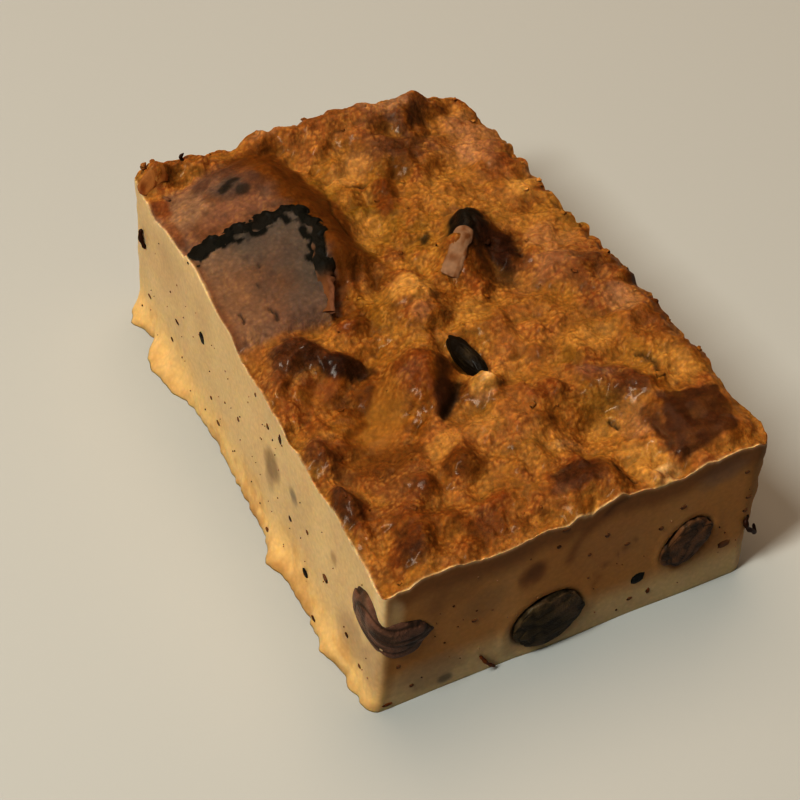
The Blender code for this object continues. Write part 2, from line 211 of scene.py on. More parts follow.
def packed_crumbs(x, y, z, size, seed):
    """Crumbs packed side by side, from 0 in the cracks to 1 on each crumb's middle.

    Each cell of a lattice holds one jittered middle. The value is the gap between the nearest
    and the second nearest middle, so it is 0 where two crumbs meet.
    """
    i, j, k = np.floor(x / size), np.floor(y / size), np.floor(z / size)
    nearest = np.full_like(x, 9.0)
    second = np.full_like(x, 9.0)
    for a in (-1, 0, 1):
        for b in (-1, 0, 1):
            for c in (-1, 0, 1) if np.ptp(z) > 0 else (0,):
                cell = (i + a, j + b, k + c)
                middle = [n + 0.5 + 0.42 * lattice_value(*cell, seed + s) for s, n in enumerate(cell)]
                if np.ptp(z) == 0:
                    middle[2] = z / size
                far = np.sqrt((x / size - middle[0]) ** 2 + (y / size - middle[1]) ** 2
                              + (z / size - middle[2]) ** 2)
                second = np.minimum(second, np.maximum(nearest, far))
                nearest = np.minimum(nearest, far)
    return smoothstep((second - nearest) / 0.55)


def oval(x, y, middle_x, middle_y, half_long, half_wide, turn):
    """How far out of a turned oval a place is: 0 at its middle and 1 on its edge."""
    c, s = math.cos(math.radians(turn)), math.sin(math.radians(turn))
    along = (x - middle_x) * c + (y - middle_y) * s
    across = (y - middle_y) * c - (x - middle_x) * s
    return np.hypot(along / half_long, across / half_wide)


def crag(x, y, middle_x, middle_y, half_long, half_wide, turn):
    """The shape of a crag: 1 at its middle, 0 well outside it, and steeper on its right."""
    across = x - middle_x
    across = np.where(across > 0, across / RIGHT_FLANK, across)
    return np.exp(-oval(across, y - middle_y, 0, 0, half_long, half_wide, turn) ** 2.6)


def level_top(x, y):
    """The top before its crags: the four corner heights blended, with a low crown."""
    u = np.clip(x / WIDTH + 0.5, 0, 1)
    v = np.clip(y / LENGTH + 0.5, 0, 1)
    front = TOP_AT_CORNER["front_left"] * (1 - u) + TOP_AT_CORNER["front_right"] * u
    back = TOP_AT_CORNER["back_left"] * (1 - u) + TOP_AT_CORNER["back_right"] * u
    crown = TOP_CROWN * 16 * u * (1 - u) * v * (1 - v)
    return front * (1 - v) + back * v + crown


def past_rim(x, y):
    """How far a place lies beyond the torn slice's rim, in millimetres: below 0 is on the slice."""
    beyond = []
    for (rim_x, rim_y), facing in SLICE_RIM:
        c, s = math.cos(math.radians(facing)), math.sin(math.radians(facing))
        beyond.append((x - rim_x) * c + (y - rim_y) * s)
    return np.max(beyond, axis=0)


def slice_height(x, y):
    """Top of the torn slice, and its share from 1 on it to 0 past its free rim."""
    (_, back), (right, _) = SLICE_RIM[0][0], SLICE_RIM[1][0]
    forward = np.clip((y - SLICE_FRONT) / (back - SLICE_FRONT), 0, 1)
    across = smoothstep((x - SLICE_LEFT) / (right - SLICE_LEFT))
    at_rim = SLICE_TOP_LEFT * (1 - across) + SLICE_TOP_RIM * across
    top = SLICE_TOP_FRONT + (at_rim - SLICE_TOP_FRONT) * forward**0.8
    share = smoothstep(0.5 - (past_rim(x, y) + 0.5) / SLICE_EDGE)
    return top, share * smoothstep((y - SLICE_FRONT) / SLICE_FRONT_BLEND)


def heel_height(x, y):
    """Top of the heel of bread, and its share from 1 on it to 0 past its crest and its back."""
    crest = HEEL_CREST + HEEL_CREST_DRAW * (HEEL_BACK - y)
    climb = np.clip((x + WIDTH / 2) / (crest + WIDTH / 2), 0, 1)
    back = HEEL_BACK - HEEL_BACK_DRAW * (1 - climb)
    top = HEEL_TOP_LEFT + (HEEL_TOP_CREST - HEEL_TOP_LEFT) * np.sin(climb * math.pi / 2)
    top = top - HEEL_BACK_FALL * smoothstep((y - back) / HEEL_BACK_ROUND + 1)
    share = smoothstep(1 - (x - crest) / HEEL_RIGHT_FALL) * smoothstep((back - y) / HEEL_BACK_BLEND + 0.5)
    return top, share * smoothstep((y - HEEL_FRONT) / HEEL_FRONT_BLEND)


# Hollows round the raisins, so that each sits in a bed: x, y, half long, half wide, turn, depth.
TOP_BED = (0.0, -14.2, 5.6, 3.0, 100, 0.9)

# Smooth glossy places of the top, where the custard baked without bread: x, y, half sizes, turn.
SMOOTH_PLACES = (
    (-18.5, -20.0, 7.0, 4.6, 60),
    (-7.0, -19.5, 4.6, 3.2, 60),
    (-24.0, -10.5, 4.0, 2.2, 20),
)
SMOOTH_CRUST = (26.2, -43.0, 7.6, 6.4, 8)  # the firm crust near the front right corner, in that form

# The smooth zone right of the heel's crest and the slice's rim, where the shadow that they throw is
# painted,
# with a crisp far edge: how far right it reaches, at places from front to back.
SHADOWED_ZONE_REACH = ((0.6, -15.7), (6.9, -11.9), (12.7, -7.9), (18.8, -4.5), (24.2, -3.5), (29.2, -2.6),
                 (35.3, -4.7), (42.4, -6.4), (47.6, -12.0))


def shadowed_zone_share(x, y):
    """1 on the smooth zone right of the heel and the slice, where their shadow is painted, and 0 past its
    crisp far edge.
    """
    places, reaches = zip(*SHADOWED_ZONE_REACH)
    past_edge = x - np.interp(y, places, reaches) + 0.5 * soft_noise(x, y, 0 * x, 3.0, 95.0)
    within = smoothstep((y - 0.6) / 1.5) * smoothstep((48.0 - y) / 1.5) * smoothstep((x + 16.5) / 1.5)
    return smoothstep(0.5 - past_edge / 1.0) * within


def crumb_share(x, y):
    """How crumbly the top is, from about 0.3 where it is glazed and smooth to 1 where it is torn."""
    share = 1.0 - 0.70 * slice_height(x, y)[1]
    share = np.minimum(share, 1.0 - 0.45 * heel_height(x, y)[1])
    share = np.minimum(share, 1.0 - 0.62 * shadowed_zone_share(x, y))
    for place in SMOOTH_PLACES:
        share = np.minimum(share, 0.38 + 0.62 * smoothstep(oval(x, y, *place) - 0.45))
    return np.minimum(share, 0.35 + 0.65 * smoothstep((oval(x, y, *SMOOTH_CRUST) - 0.8) / 0.3))


# The crumb of the top: the size of its lumps, of the smaller ones on them and of its grains, how
# far each stands out, and the mean that each is taken from, so that the top stays at its height.
LUMP_SIZE, LUMP_RISE, LUMP_MEAN = 4.4, 1.15, 0.3
SMALL_LUMP_SIZE, SMALL_LUMP_RISE = 2.3, 0.65
GRAIN_SIZE, GRAIN_RISE, GRAIN_MEAN = 1.2, 0.11, 0.55
PIMPLE_SIZE, PIMPLE_RISE = 1.0, 0.14
BEND, BEND_SIZE = 0.8, 2.3


def bent(x, y):
    """Places moved a little by soft noise, so that nothing laid out on them runs in rows."""
    flat = np.zeros_like(x)
    bend_x, bend_y = (BEND * soft_noise(x, y, flat, BEND_SIZE, seed) for seed in (21.0, 22.0))
    return x + bend_x, y + bend_y, flat


def large_lumps(x, y):
    """The larger lumps: the size of a soft noise, whatever its sign, and 0 in their creases."""
    return np.abs(soft_noise(*bent(x, y), LUMP_SIZE, 31.0))


def crumb_relief(x, y):
    """Fine relief of the browned top in millimetres, and how high each place is on its lump.

    Large and small lumps are added, so they are round and meet in soft creases. Over them are
    packed grains of about a millimetre.
    """
    coarse = large_lumps(x, y)
    middle = np.abs(soft_noise(*bent(x, y), SMALL_LUMP_SIZE, 33.0))
    fine = packed_crumbs(*bent(x, y), GRAIN_SIZE, 37.0)
    relief = LUMP_RISE * (coarse - LUMP_MEAN) + SMALL_LUMP_RISE * (middle - LUMP_MEAN)
    relief = relief + GRAIN_RISE * (fine - GRAIN_MEAN)
    relief = relief + PIMPLE_RISE * soft_noise(x, y, 0 * x, PIMPLE_SIZE, 43.0)
    coarse = smoothstep(coarse / 0.35)
    return relief * crumb_share(x, y), coarse, fine


# Splits and pits: the places that each runs through, half its width and its depth. Two are in
# the torn slice, and the others are where two crumbs of bread pull apart.
SPLITS = (
    (((-24.9, 8.2), (-24.4, 6.8), (-24.6, 5.6)), 0.30, 0.5),
    (((-30.2, 9.4), (-29.9, 8.2), (-30.3, 7.2)), 0.28, 0.5),
    (((-23.0, 17.9), (-22.9, 17.2)), 0.32, 0.35),
    (((-24.7, 14.2), (-24.6, 13.2)), 0.28, 0.3),
    (((0.8, 33.9), (3.0, 33.4), (4.6, 33.6)), 0.3, 0.5),
    (((14.6, -35.4), (15.1, -37.2)), 0.35, 0.6),
    (((-4.2, -19.6), (-6.4, -22.4), (-9.4, -24.6)), 0.7, 0.6),
    (((9.6, -44.6), (9.4, -47.4), (10.6, -49.8)), 0.4, 0.6),
    (((-4.4, 20.8), (-5.2, 26.4), (-3.9, 31.0)), 0.35, 0.35),
    (((24.9, -26.0), (26.4, -28.6), (25.4, -31.8)), 0.45, 0.5),
)


def from_line(x, y, places):
    """Distance from a line through several places, in millimetres: the least over its stretches."""
    nearest = np.full_like(x, 1e3)
    for (ax, ay), (bx, by) in zip(places[:-1], places[1:]):
        dx, dy = bx - ax, by - ay
        along = np.clip(((x - ax) * dx + (y - ay) * dy) / (dx * dx + dy * dy), 0, 1)
        nearest = np.minimum(nearest, np.hypot(x - ax - along * dx, y - ay - along * dy))
    return nearest


def split_depth(x, y):
    """How deep the splits cut at each place: a bell across each line."""
    deep = np.zeros_like(x)
    for places, half_wide, depth in SPLITS:
        deep = np.maximum(deep, depth * np.exp(-(from_line(x, y, places) / half_wide) ** 2))
    return deep


EDGE_LUMPS, EDGE_LUMP_SIZE = 0.45, 5.2  # how the torn crumb along the two far sides stands up


def top_height(x, y):
    """Height of the browned top: the CAD model's forms, then crumbs, splits and the raisin's bed."""
    height = level_top(x, y)
    for place in CRAGS.values():
        *where, rise = place
        height += rise * crag(x, y, *where)
    height += sum(share * soft_noise(x, y, 0 * x, size, 3.0) for size, share in CRUMB_SIZES)
    for top, share in (heel_height(x, y), slice_height(x, y)):
        height = height * (1 - share) + top * share
    *bed, depth = TOP_BED
    height += crumb_relief(x, y)[0] - split_depth(x, y)
    height -= depth * (1 - smoothstep((oval(x, y, *bed) - 0.7) / 0.5))
    from_far_side = np.minimum(WIDTH / 2 - x, LENGTH / 2 - y)
    near_side = 1 - smoothstep((from_far_side - 1.0) / 4.0)
    near_side = near_side * (0.4 + 1.2 * np.abs(soft_noise(x, y, 0 * x, 9.0, 59.0)))
    height += EDGE_LUMPS * near_side * (packed_crumbs(x, y, 0 * x, EDGE_LUMP_SIZE, 58.0) - 0.45)
    return height - EDGE_FALL * (1 - smoothstep(from_far_side / EDGE_FALL_WIDTH))


def round_corners(x, y):
    """Plan of the block with each upright edge rounded to its own radius."""
    for name, radius in CORNER_RADIUS.items():
        way_x = -1 if "left" in name else 1
        way_y = -1 if "front" in name else 1
        middle_x, middle_y = way_x * (WIDTH / 2 - radius), way_y * (LENGTH / 2 - radius)
        dx, dy = x - middle_x, y - middle_y
        reach = np.hypot(dx, dy)
        beyond = (dx * way_x > 0) & (dy * way_y > 0) & (reach > radius)
        shrink = np.where(beyond, radius / np.maximum(reach, 1e-6), 1.0)
        x, y = middle_x + dx * shrink, middle_y + dy * shrink
    return x, y


FOOT_TEETH, FOOT_TEETH_HEIGHT = 0.55, 1.4  # the torn edge: how far it goes in and out, and how thick


def foot_flare(y, z):
    """How far the foot of crust stands out of the left side: its reach there, times a steep fall
    with height, and the teeth of its torn edge, which are only at the very foot."""
    places, reaches = zip(*FOOT_REACH)
    reach = np.interp(y, places, reaches)
    rise = 1.0 + 0.35 * soft_noise(y, 0 * y, 0 * y, 3.4, 53.0)
    flare = reach * np.exp(-((z / (FOOT_HEIGHT * rise)) ** 1.5))
    teeth = soft_noise(y, 0 * y, 0 * z, 2.9, 51.0) + 0.5 * soft_noise(y, 0 * y, 0 * z, 1.1, 52.0)
    teeth = teeth * (0.55 + 0.9 * np.abs(soft_noise(y, 0 * y, 0 * z, 8.0, 54.0)))
    low = np.exp(-((z / FOOT_TEETH_HEIGHT) ** 2))
    return np.maximum(flare + FOOT_TEETH * teeth * low * np.minimum(1, reach / 1.6), 0)


RIGHT_BELLY, RIGHT_BELLY_AT, RIGHT_BELLY_LONG = 1.4, -8.0, 15.0  # the right side's widest place

# The beds of the two cut raisins in the front face: x, z, half sizes and turn in degrees.
FRONT_BEDS = ((-4.6, 7.1, 6.5, 5.5, 22), (20.7, 12.7, 5.3, 4.2, 56))


def side_shift(u, v, x, y, z, up):
    """How far the four sides stand off the plan at each place, in x and y.

    The cut sides lean and wave a little. The baked ones bulge and are rough with crumb, and the
    foot stands out at the left. u and v run from -0.5 to 0.5 and up from 0 at the underside to 1.
    """
    left = smoothstep((-2 * u - 0.80) / 0.20)
    right = smoothstep((2 * u - 0.80) / 0.20)
    front = smoothstep((-2 * v - 0.88) / 0.12)
    back = smoothstep((2 * v - 0.88) / 0.12)
    wave = 0.35 * soft_noise(x, y, z, 11.0, 5.0)
    rough = 0.7 * soft_noise(x, y, z, 5.0, 7.0)
    crumbs = 0.75 * (packed_crumbs(x, y, z, 5.0, 61.0) - 0.6) + 0.40 * soft_noise(x, y, z, 2.2, 63.0)
    rough = rough + crumbs * (0.4 + 1.1 * np.abs(soft_noise(x, y, z, 9.0, 67.0)))
    pitted = 0.16 * smoothstep((7.0 - z) / 6.0) * soft_noise(x, y, z, 1.3, 65.0)
    shift_x = left * (LEFT_LEAN * (up - 0.4) + wave + pitted - foot_flare(y, z))
    belly = RIGHT_BELLY * up * np.exp(-(((y - RIGHT_BELLY_AT) / RIGHT_BELLY_LONG) ** 2))
    shift_x = shift_x + right * (RIGHT_BULGE * (up - 0.3) + rough + belly)
    bed = np.min([oval(x, z, *place) for place in FRONT_BEDS], axis=0)
    sunk = 0.8 * (1 - smoothstep((bed - 0.80) / 0.30)) - 0.12 * np.exp(-((bed - 1.25) / 0.12) ** 2)
    shift_y = front * (FRONT_LEAN * (up - 0.4) + 0.5 * wave + sunk) + back * rough
    return shift_x, shift_y


# Cells of the skin. The two outermost rows of the top are finer, for a crisp cut edge.
CELL = 0.375
EDGE_STEP = 0.16
LEVELS = 40
LEVEL_CROWDING = 0.6
UNDER_RINGS = (0.97, 0.82, 0.5, 0.2)


def knife_spacing(half):
    """Places from one edge to the other as shares of half the side: even cells, fine at the edges."""
    inner_half = half - 2.5 * EDGE_STEP
    inner = np.linspace(-inner_half, inner_half, int(round(2 * inner_half / CELL)) + 1)
    edge = np.array([half, half - EDGE_STEP])
    return np.concatenate([-edge, inner, edge[::-1]]) / half


across, along = knife_spacing(WIDTH / 2), knife_spacing(LENGTH / 2)
p, q = np.meshgrid(across, along, indexing="ij")
outness = np.maximum(np.maximum(np.abs(p), np.abs(q)), 1e-6)
edge_x, edge_y = p / outness * WIDTH / 2, q / outness * LENGTH / 2
round_x, round_y = round_corners(edge_x, edge_y)
plan_x = p * WIDTH / 2 + (round_x - edge_x) * outness**5
plan_y = q * LENGTH / 2 + (round_y - edge_y) * outness**5
top_z = top_height(plan_x, plan_y)
shift_x, shift_y = side_shift(p / 2, q / 2, plan_x, plan_y, top_z, 1.0)
top_points = np.stack([plan_x + shift_x, plan_y + shift_y, top_z], axis=-1)

# The border of the top, counter-clockwise from its front left corner, is the sides' first ring.
cols, rows = len(across), len(along)
border = np.concatenate([
    np.stack([np.arange(cols - 1), np.zeros(cols - 1, int)], 1),
    np.stack([np.full(rows - 1, cols - 1), np.arange(rows - 1)], 1),
    np.stack([np.arange(cols - 1, 0, -1), np.full(cols - 1, rows - 1)], 1),
    np.stack([np.zeros(rows - 1, int), np.arange(rows - 1, 0, -1)], 1),
])
rim_u, rim_v = p[border[:, 0], border[:, 1]] / 2, q[border[:, 0], border[:, 1]] / 2
rim_x, rim_y = plan_x[border[:, 0], border[:, 1]], plan_y[border[:, 0], border[:, 1]]
rim_z = top_z[border[:, 0], border[:, 1]]
steps = np.arange(1, LEVELS + 1) / LEVELS
up = 1 - steps + LEVEL_CROWDING / (2 * math.pi) * np.sin(2 * math.pi * steps)
up[-1] = 0.0
side_x, side_up = np.meshgrid(rim_x, up)
side_y, _ = np.meshgrid(rim_y, up)
side_z = side_up * rim_z[None, :]
shift_x, shift_y = side_shift(rim_u[None, :] + 0 * side_x, rim_v[None, :] + 0 * side_x,
                              side_x, side_y, side_z, side_up)
side_points = np.stack([side_x + shift_x, side_y + shift_y, side_z], axis=-1)
under_points = side_points[-1][None] * np.array(UNDER_RINGS)[:, None, None]

pudding_points = np.concatenate([
    top_points.reshape(-1, 3), side_points.reshape(-1, 3), under_points.reshape(-1, 3),
    np.zeros((1, 3)),
])


def grid_quads(index):
    """Quads of a grid of point numbers, each row joined to the next."""
    a, b = index[:-1, :-1], index[1:, :-1]
    c, d = index[1:, 1:], index[:-1, 1:]
    return np.stack([a, b, c, d], axis=-1).reshape(-1, 4)


def fan(ring, pole):
    """Triangles from a closed ring of point numbers to one pole."""
    return np.stack([ring, np.roll(ring, -1), np.full_like(ring, pole)], axis=1)


def closed(index):
    """A grid of point numbers whose rows are rings, with its first column again at the end."""
    return np.concatenate([index, index[:, :1]], axis=1)


def add_piece(name, points, faces, finish):
    """A closed piece from points in millimetres and arrays of faces.

    The faces are turned to face outwards by the sign of the volume that they enclose: a sixth
    of the sum of the triple products of each triangle's corners.
    """
    triangles = np.concatenate([f[:, [0, i, i + 1]] for f in faces for i in range(1, f.shape[1] - 1)])
    a, b, c = points[triangles[:, 0]], points[triangles[:, 1]], points[triangles[:, 2]]
    if np.einsum("ij,ij->i", a, np.cross(b, c)).sum() < 0:
        faces = [f[:, ::-1] for f in faces]
    mesh = bpy.data.meshes.new(name)
    corners = np.concatenate([f.ravel() for f in faces])
    sides = np.concatenate([np.full(len(f), f.shape[1]) for f in faces])
    mesh.vertices.add(len(points))
    mesh.vertices.foreach_set("co", (points * MM).astype(np.float32).ravel())
    mesh.loops.add(len(corners))
    mesh.loops.foreach_set("vertex_index", corners.astype(np.int32))
    mesh.polygons.add(len(sides))
    mesh.polygons.foreach_set("loop_start", (np.cumsum(sides) - sides).astype(np.int32))
    mesh.update(calc_edges=True)
    mesh.validate()
    mesh.shade_smooth()
    mesh.materials.append(finish)
    piece = bpy.data.objects.new(name, mesh)
    scene.collection.objects.link(piece)
    return piece


def paint(piece, name, values):
    """A named value or colour for each point of a piece, which its material reads."""
    kind = "FLOAT" if values.ndim == 1 else "FLOAT_COLOR"
    layer = piece.data.attributes.new(name, kind, "POINT")
    if values.ndim == 1:
        layer.data.foreach_set("value", values.astype(np.float32))
    else:
        full = np.concatenate([values, np.ones((len(values), 1))], axis=1)
        layer.data.foreach_set("color", full.astype(np.float32).ravel())


def paint_food(piece, colour, gloss, grain):
    """The three things that a food finish reads: its tone, how glossy it is, and how grainy."""
    paint(piece, "tone", colour)
    for mask, value in (("gloss", gloss), ("grain", grain)):
        paint(piece, mask, value if np.ndim(value) else np.full(len(colour), value))


# Tones of the food: base colours, as the share of red, green and blue light that each returns.
TONES = {
    "custard": (0.560, 0.392, 0.205),
    # Also the painted light at the foot of the front side and the painted highlight along the cut edges.
    "cream": (0.600, 0.450, 0.260),
    "foot": (0.600, 0.395, 0.170),
    "gold": (0.262, 0.126, 0.022),
    "amber": (0.250, 0.108, 0.022),
    "orange": (0.258, 0.106, 0.028),
    "rust": (0.150, 0.042, 0.006),
    # A deep orange-brown that is mostly painted shadow on the custard beside the crest, the rim and the
    # taller lumps, and in a few places a real glaze.
    "caramel_and_shadow": (0.119, 0.040, 0.004),
    "olive": (0.165, 0.084, 0.006),
    "tan": (0.345, 0.185, 0.096),
    "pink tan": (0.205, 0.098, 0.058),
    "brown": (0.155, 0.064, 0.023),
    "mauve": (0.130, 0.074, 0.048),
    "grey": (0.082, 0.070, 0.058),
    "chocolate": (0.066, 0.022, 0.006),
    # Also laid as painted shadow on the top and as painted shade round the cut raisins.
    "dark": (0.034, 0.010, 0.003),
    "char": (0.008, 0.007, 0.004),
    "rosy": (0.240, 0.140, 0.082),
    # Also the painted shade on the right flanks of the lumps.
    "honey": (0.180, 0.063, 0.005),
    "bright": (0.430, 0.235, 0.062),
    # This tone and the next are also the painted shade of the front side.
    "toffee_and_shade": (0.400, 0.190, 0.054),
    "dark toffee": (0.215, 0.090, 0.026),
}


def tone(name):
    """The base colour of a tone."""
    return np.array(TONES[name])


def plain(name, count):
    """The same tone for each of a number of points."""
    return np.ones((count, 3)) * tone(name)


def blend_tone(colour, name, share):
    """Move colours towards a tone by a share for each point."""
    share = np.clip(share, 0, 1)[:, None]
    return colour * (1 - share) + tone(name) * share


# Where the oven and the bread coloured the top, and a few painted shadows beside the charred ridge, the
# slice and the glazed lump: tone, x, y, half sizes, turn, strength.
TOP_PATCHES = (
    ("tan", 28.0, 38.5, 5.5, 9.5, 0, 0.55),
    ("tan", 20.0, 49.5, 6.0, 3.0, 0, 0.5),
    ("honey", -19.0, -13.5, 8.5, 9.0, 0, 0.72),
    ("honey", -12.0, 5.0, 4.5, 9.0, 0, 0.60),
    ("honey", -21.0, -29.0, 8.0, 9.0, 0, 0.45),
    ("honey", 18.5, 3.5, 4.5, 5.0, 0, 0.50),
    ("honey", -15.0, -45.0, 8.0, 6.0, 0, 0.40),
    ("bright", 3.0, -20.0, 4.2, 4.0, 0, 0.45),
    ("bright", 3.0, -36.5, 4.2, 3.6, 0, 0.45),
    ("bright", 3.0, -3.0, 3.6, 5.0, 0, 0.40),
    ("bright", 19.0, 25.0, 6.0, 10.0, 0, 0.35),
    ("bright", 28.0, 14.0, 5.0, 12.0, 0, 0.30),
    ("olive", 0.5, 23.0, 10.0, 5.5, 60, 0.75),
    ("olive", 6.5, 16.0, 5.0, 3.0, 45, 0.55),
    ("gold", 3.0, 38.0, 9.0, 5.0, 0, 0.6),
    ("tan", 3.5, 37.5, 4.5, 3.0, 20, 0.45),
    ("orange", 4.0, 47.0, 13.0, 4.5, 0, 0.6),
    ("amber", -6.0, 51.0, 9.0, 2.5, 0, 0.6),
    ("brown", 14.8, 42.0, 9.4, 7.2, 62, 0.9),
    ("mauve", 17.6, 46.5, 5.4, 4.2, 0, 0.6),
    ("chocolate", 15.2, 41.0, 6.0, 4.2, 62, 0.62),
    ("olive", 10.5, 34.2, 4.6, 3.0, 0, 0.6),
    ("dark", 13.6, 37.6, 3.4, 2.0, 60, 0.35),
    ("orange", 30.0, 33.0, 3.0, 5.0, 0, 0.45),
    ("rust", 30.5, 32.5, 2.4, 5.0, 10, 0.7),
    ("rust", 24.0, 39.5, 2.4, 2.4, 0, 0.5),
    ("pink tan", 27.0, 43.0, 3.0, 3.0, 0, 0.4),
    ("rust", 5.4, 28.6, 4.4, 1.9, 70, 0.85),
    ("rust", 0.4, 13.6, 2.4, 1.6, 20, 0.6),
    ("amber", 22.0, 24.0, 7.0, 5.0, 0, 0.6),
    ("gold", 30.0, 15.5, 5.0, 4.0, 0, 0.7),
    ("rust", 32.4, 21.2, 2.2, 1.8, 0, 0.7),
    ("tan", 34.0, 25.5, 2.0, 2.6, 0, 0.6),
    ("tan", 26.0, 7.0, 5.0, 4.0, 0, 0.45),
    ("pink tan", 20.0, -0.5, 5.0, 5.0, 0, 0.5),
    ("brown", 14.2, 18.6, 3.4, 2.6, 40, 0.75),
    ("dark", 14.0, 3.4, 4.0, 4.2, 0, 0.95),
    ("dark", 18.4, 9.6, 3.4, 5.0, 0, 0.92),
    ("char", 14.4, 12.8, 6.0, 4.4, 20, 0.97),
    ("rust", 9.6, 2.6, 4.6, 2.8, 30, 0.7),
    ("char", 7.4, 15.6, 1.5, 0.9, 50, 0.5),
    ("orange", -2.4, -0.6, 3.0, 5.0, 0, 0.55),
    ("tan", -2.2, 3.8, 3.2, 3.4, 0, 0.55),
    ("tan", -3.0, -3.4, 2.4, 2.0, 0, 0.5),
    ("rust", -5.4, -1.4, 2.0, 5.2, 0, 0.35),
    ("gold", 4.0, -5.0, 6.0, 4.0, 0, 0.5),
    ("orange", 11.0, -11.0, 6.5, 4.0, 30, 0.5),
    ("brown", 28.0, -5.5, 5.0, 8.5, 0, 0.62),
    ("chocolate", 28.6, -3.4, 2.2, 3.2, 0, 0.6),
    ("rust", 26.0, -12.4, 2.2, 4.2, 0, 0.5),
    ("pink tan", 33.8, -10.0, 2.4, 3.4, 0, 0.55),
    ("rust", 34.6, -17.0, 2.4, 5.0, 0, 0.8),
    ("brown", 31.6, -21.6, 2.4, 3.0, 0, 0.6),
    ("rust", 35.6, -3.0, 2.0, 4.6, 0, 0.6),
    ("gold", 20.0, -18.5, 5.5, 4.5, 0, 0.7),
    ("gold", 25.0, -25.6, 4.4, 3.0, -20, 0.6),
    ("orange", 35.6, -29.0, 2.6, 7.5, 0, 0.6),
    ("olive", 14.6, -22.0, 2.6, 2.0, 0, 0.65),
    ("brown", 18.4, -30.4, 6.4, 3.4, -50, 0.85),
    ("pink tan", 16.4, -27.6, 3.2, 1.8, -40, 0.75),
    ("chocolate", 20.6, -33.0, 3.4, 2.2, -40, 0.7),
    ("olive", 13.2, -33.0, 4.4, 4.8, 0, 0.6),
    ("dark", 14.7, -36.2, 0.9, 0.8, 0, 0.8),
    ("tan", 17.4, -38.6, 3.2, 4.4, 0, 0.55),
    ("bright", 14.6, -46.6, 3.4, 5.2, 0, 0.85),
    ("cream", 16.0, -50.4, 2.4, 1.6, 0, 0.45),
    ("gold", 34.6, -44.8, 1.6, 5.4, 0, 0.75),
    ("gold", 31.0, -50.4, 6.0, 1.6, 0, 0.35),
    ("rust", 2.4, -45.0, 4.8, 3.8, 0, 0.9),
    ("chocolate", 2.4, -44.6, 3.2, 2.6, 0, 0.65),
    ("mauve", 0.2, -46.6, 2.0, 1.6, 0, 0.5),
    ("cream", 5.6, -38.0, 2.4, 1.3, 0, 0.5),
    ("gold", 0.4, -38.0, 5.4, 3.2, 0, 0.55),
    ("orange", -2.4, -31.2, 4.6, 4.2, 0, 0.6),
    ("tan", -1.6, -23.4, 2.6, 2.2, 0, 0.8),
    ("rust", 6.8, -27.4, 3.0, 2.2, 0, 0.75),
    ("orange", 2.0, -26.4, 2.6, 3.0, 0, 0.5),
    ("olive", -3.4, -26.0, 2.0, 1.4, 0, 0.5),
    ("orange", 7.5, -17.0, 5.0, 4.0, 0, 0.5),
    ("rust", -9.4, -15.6, 6.2, 5.0, 65, 0.85),
    ("pink tan", -11.0, -15.4, 2.6, 1.8, 40, 0.5),
    ("dark", -6.6, -19.6, 4.6, 2.2, 62, 0.75),
    ("rust", -8.4, -23.0, 3.0, 1.6, 62, 0.8),
    ("gold", -17.6, -19.0, 7.0, 4.8, 60, 0.55),
    ("amber", -20.5, -26.0, 5.6, 4.2, 30, 0.5),
    ("rust", -10.4, -33.8, 3.4, 2.8, 60, 0.75),
    ("rust", -13.8, -36.4, 2.6, 1.6, 0, 0.5),
    ("brown", -21.4, -33.6, 4.6, 6.4, 20, 0.45),
    ("rust", -19.6, -38.4, 5.0, 3.4, 20, 0.5),
    ("rust", -24.6, -44.0, 6.0, 5.0, 0, 0.55),
    ("chocolate", -25.4, -45.0, 3.0, 2.4, 70, 0.75),
    ("rust", -16.0, -48.0, 5.0, 2.6, 0, 0.5),
    ("rust", -30.0, -47.2, 2.8, 3.2, 0, 0.65),
    ("orange", -31.0, -41.0, 2.0, 5.0, 0, 0.45),
    ("pink tan", -12.8, -46.6, 1.8, 2.2, 0, 0.6),
    ("rust", -9.8, -43.8, 1.8, 2.4, 0, 0.5),
    ("brown", -29.8, -22.4, 3.2, 5.0, 0, 0.85),
    ("chocolate", -30.6, -34.6, 3.4, 4.8, 0, 0.9),
    ("grey", -30.4, -31.6, 1.8, 2.0, 0, 0.4),
    ("amber", -29.6, -14.6, 3.0, 2.4, 0, 0.5),
    ("brown", -24.8, -3.2, 6.0, 5.0, 20, 0.9),
    ("chocolate", -24.2, -4.0, 5.4, 4.6, 20, 0.85),
    ("rust", -20.5, -12.5, 5.0, 3.4, 0, 0.55),
    ("caramel_and_shadow", -13.2, 3.0, 3.0, 6.0, 0, 0.6),
    ("dark", -22.6, -2.6, 3.4, 2.2, 0, 0.45),
    ("grey", -26.6, -0.6, 1.8, 1.2, 20, 0.35),
    ("dark", -18.6, -7.4, 4.4, 3.0, -20, 0.97),
    ("rust", -24.0, -8.8, 4.2, 2.0, 0, 0.6),
    ("brown", -29.6, -5.6, 3.2, 3.2, 0, 0.8),
    ("orange", -31.4, 1.0, 1.8, 6.0, 0, 0.7),
    ("rust", -31.6, -11.0, 1.8, 3.0, 0, 0.5),
    ("rust", -14.0, 1.5, 2.4, 2.8, 0, 0.75),
    ("rust", -8.8, 10.6, 1.8, 2.6, 0, 0.6),
    ("olive", -9.4, 2.0, 3.6, 5.4, 0, 0.55),
)
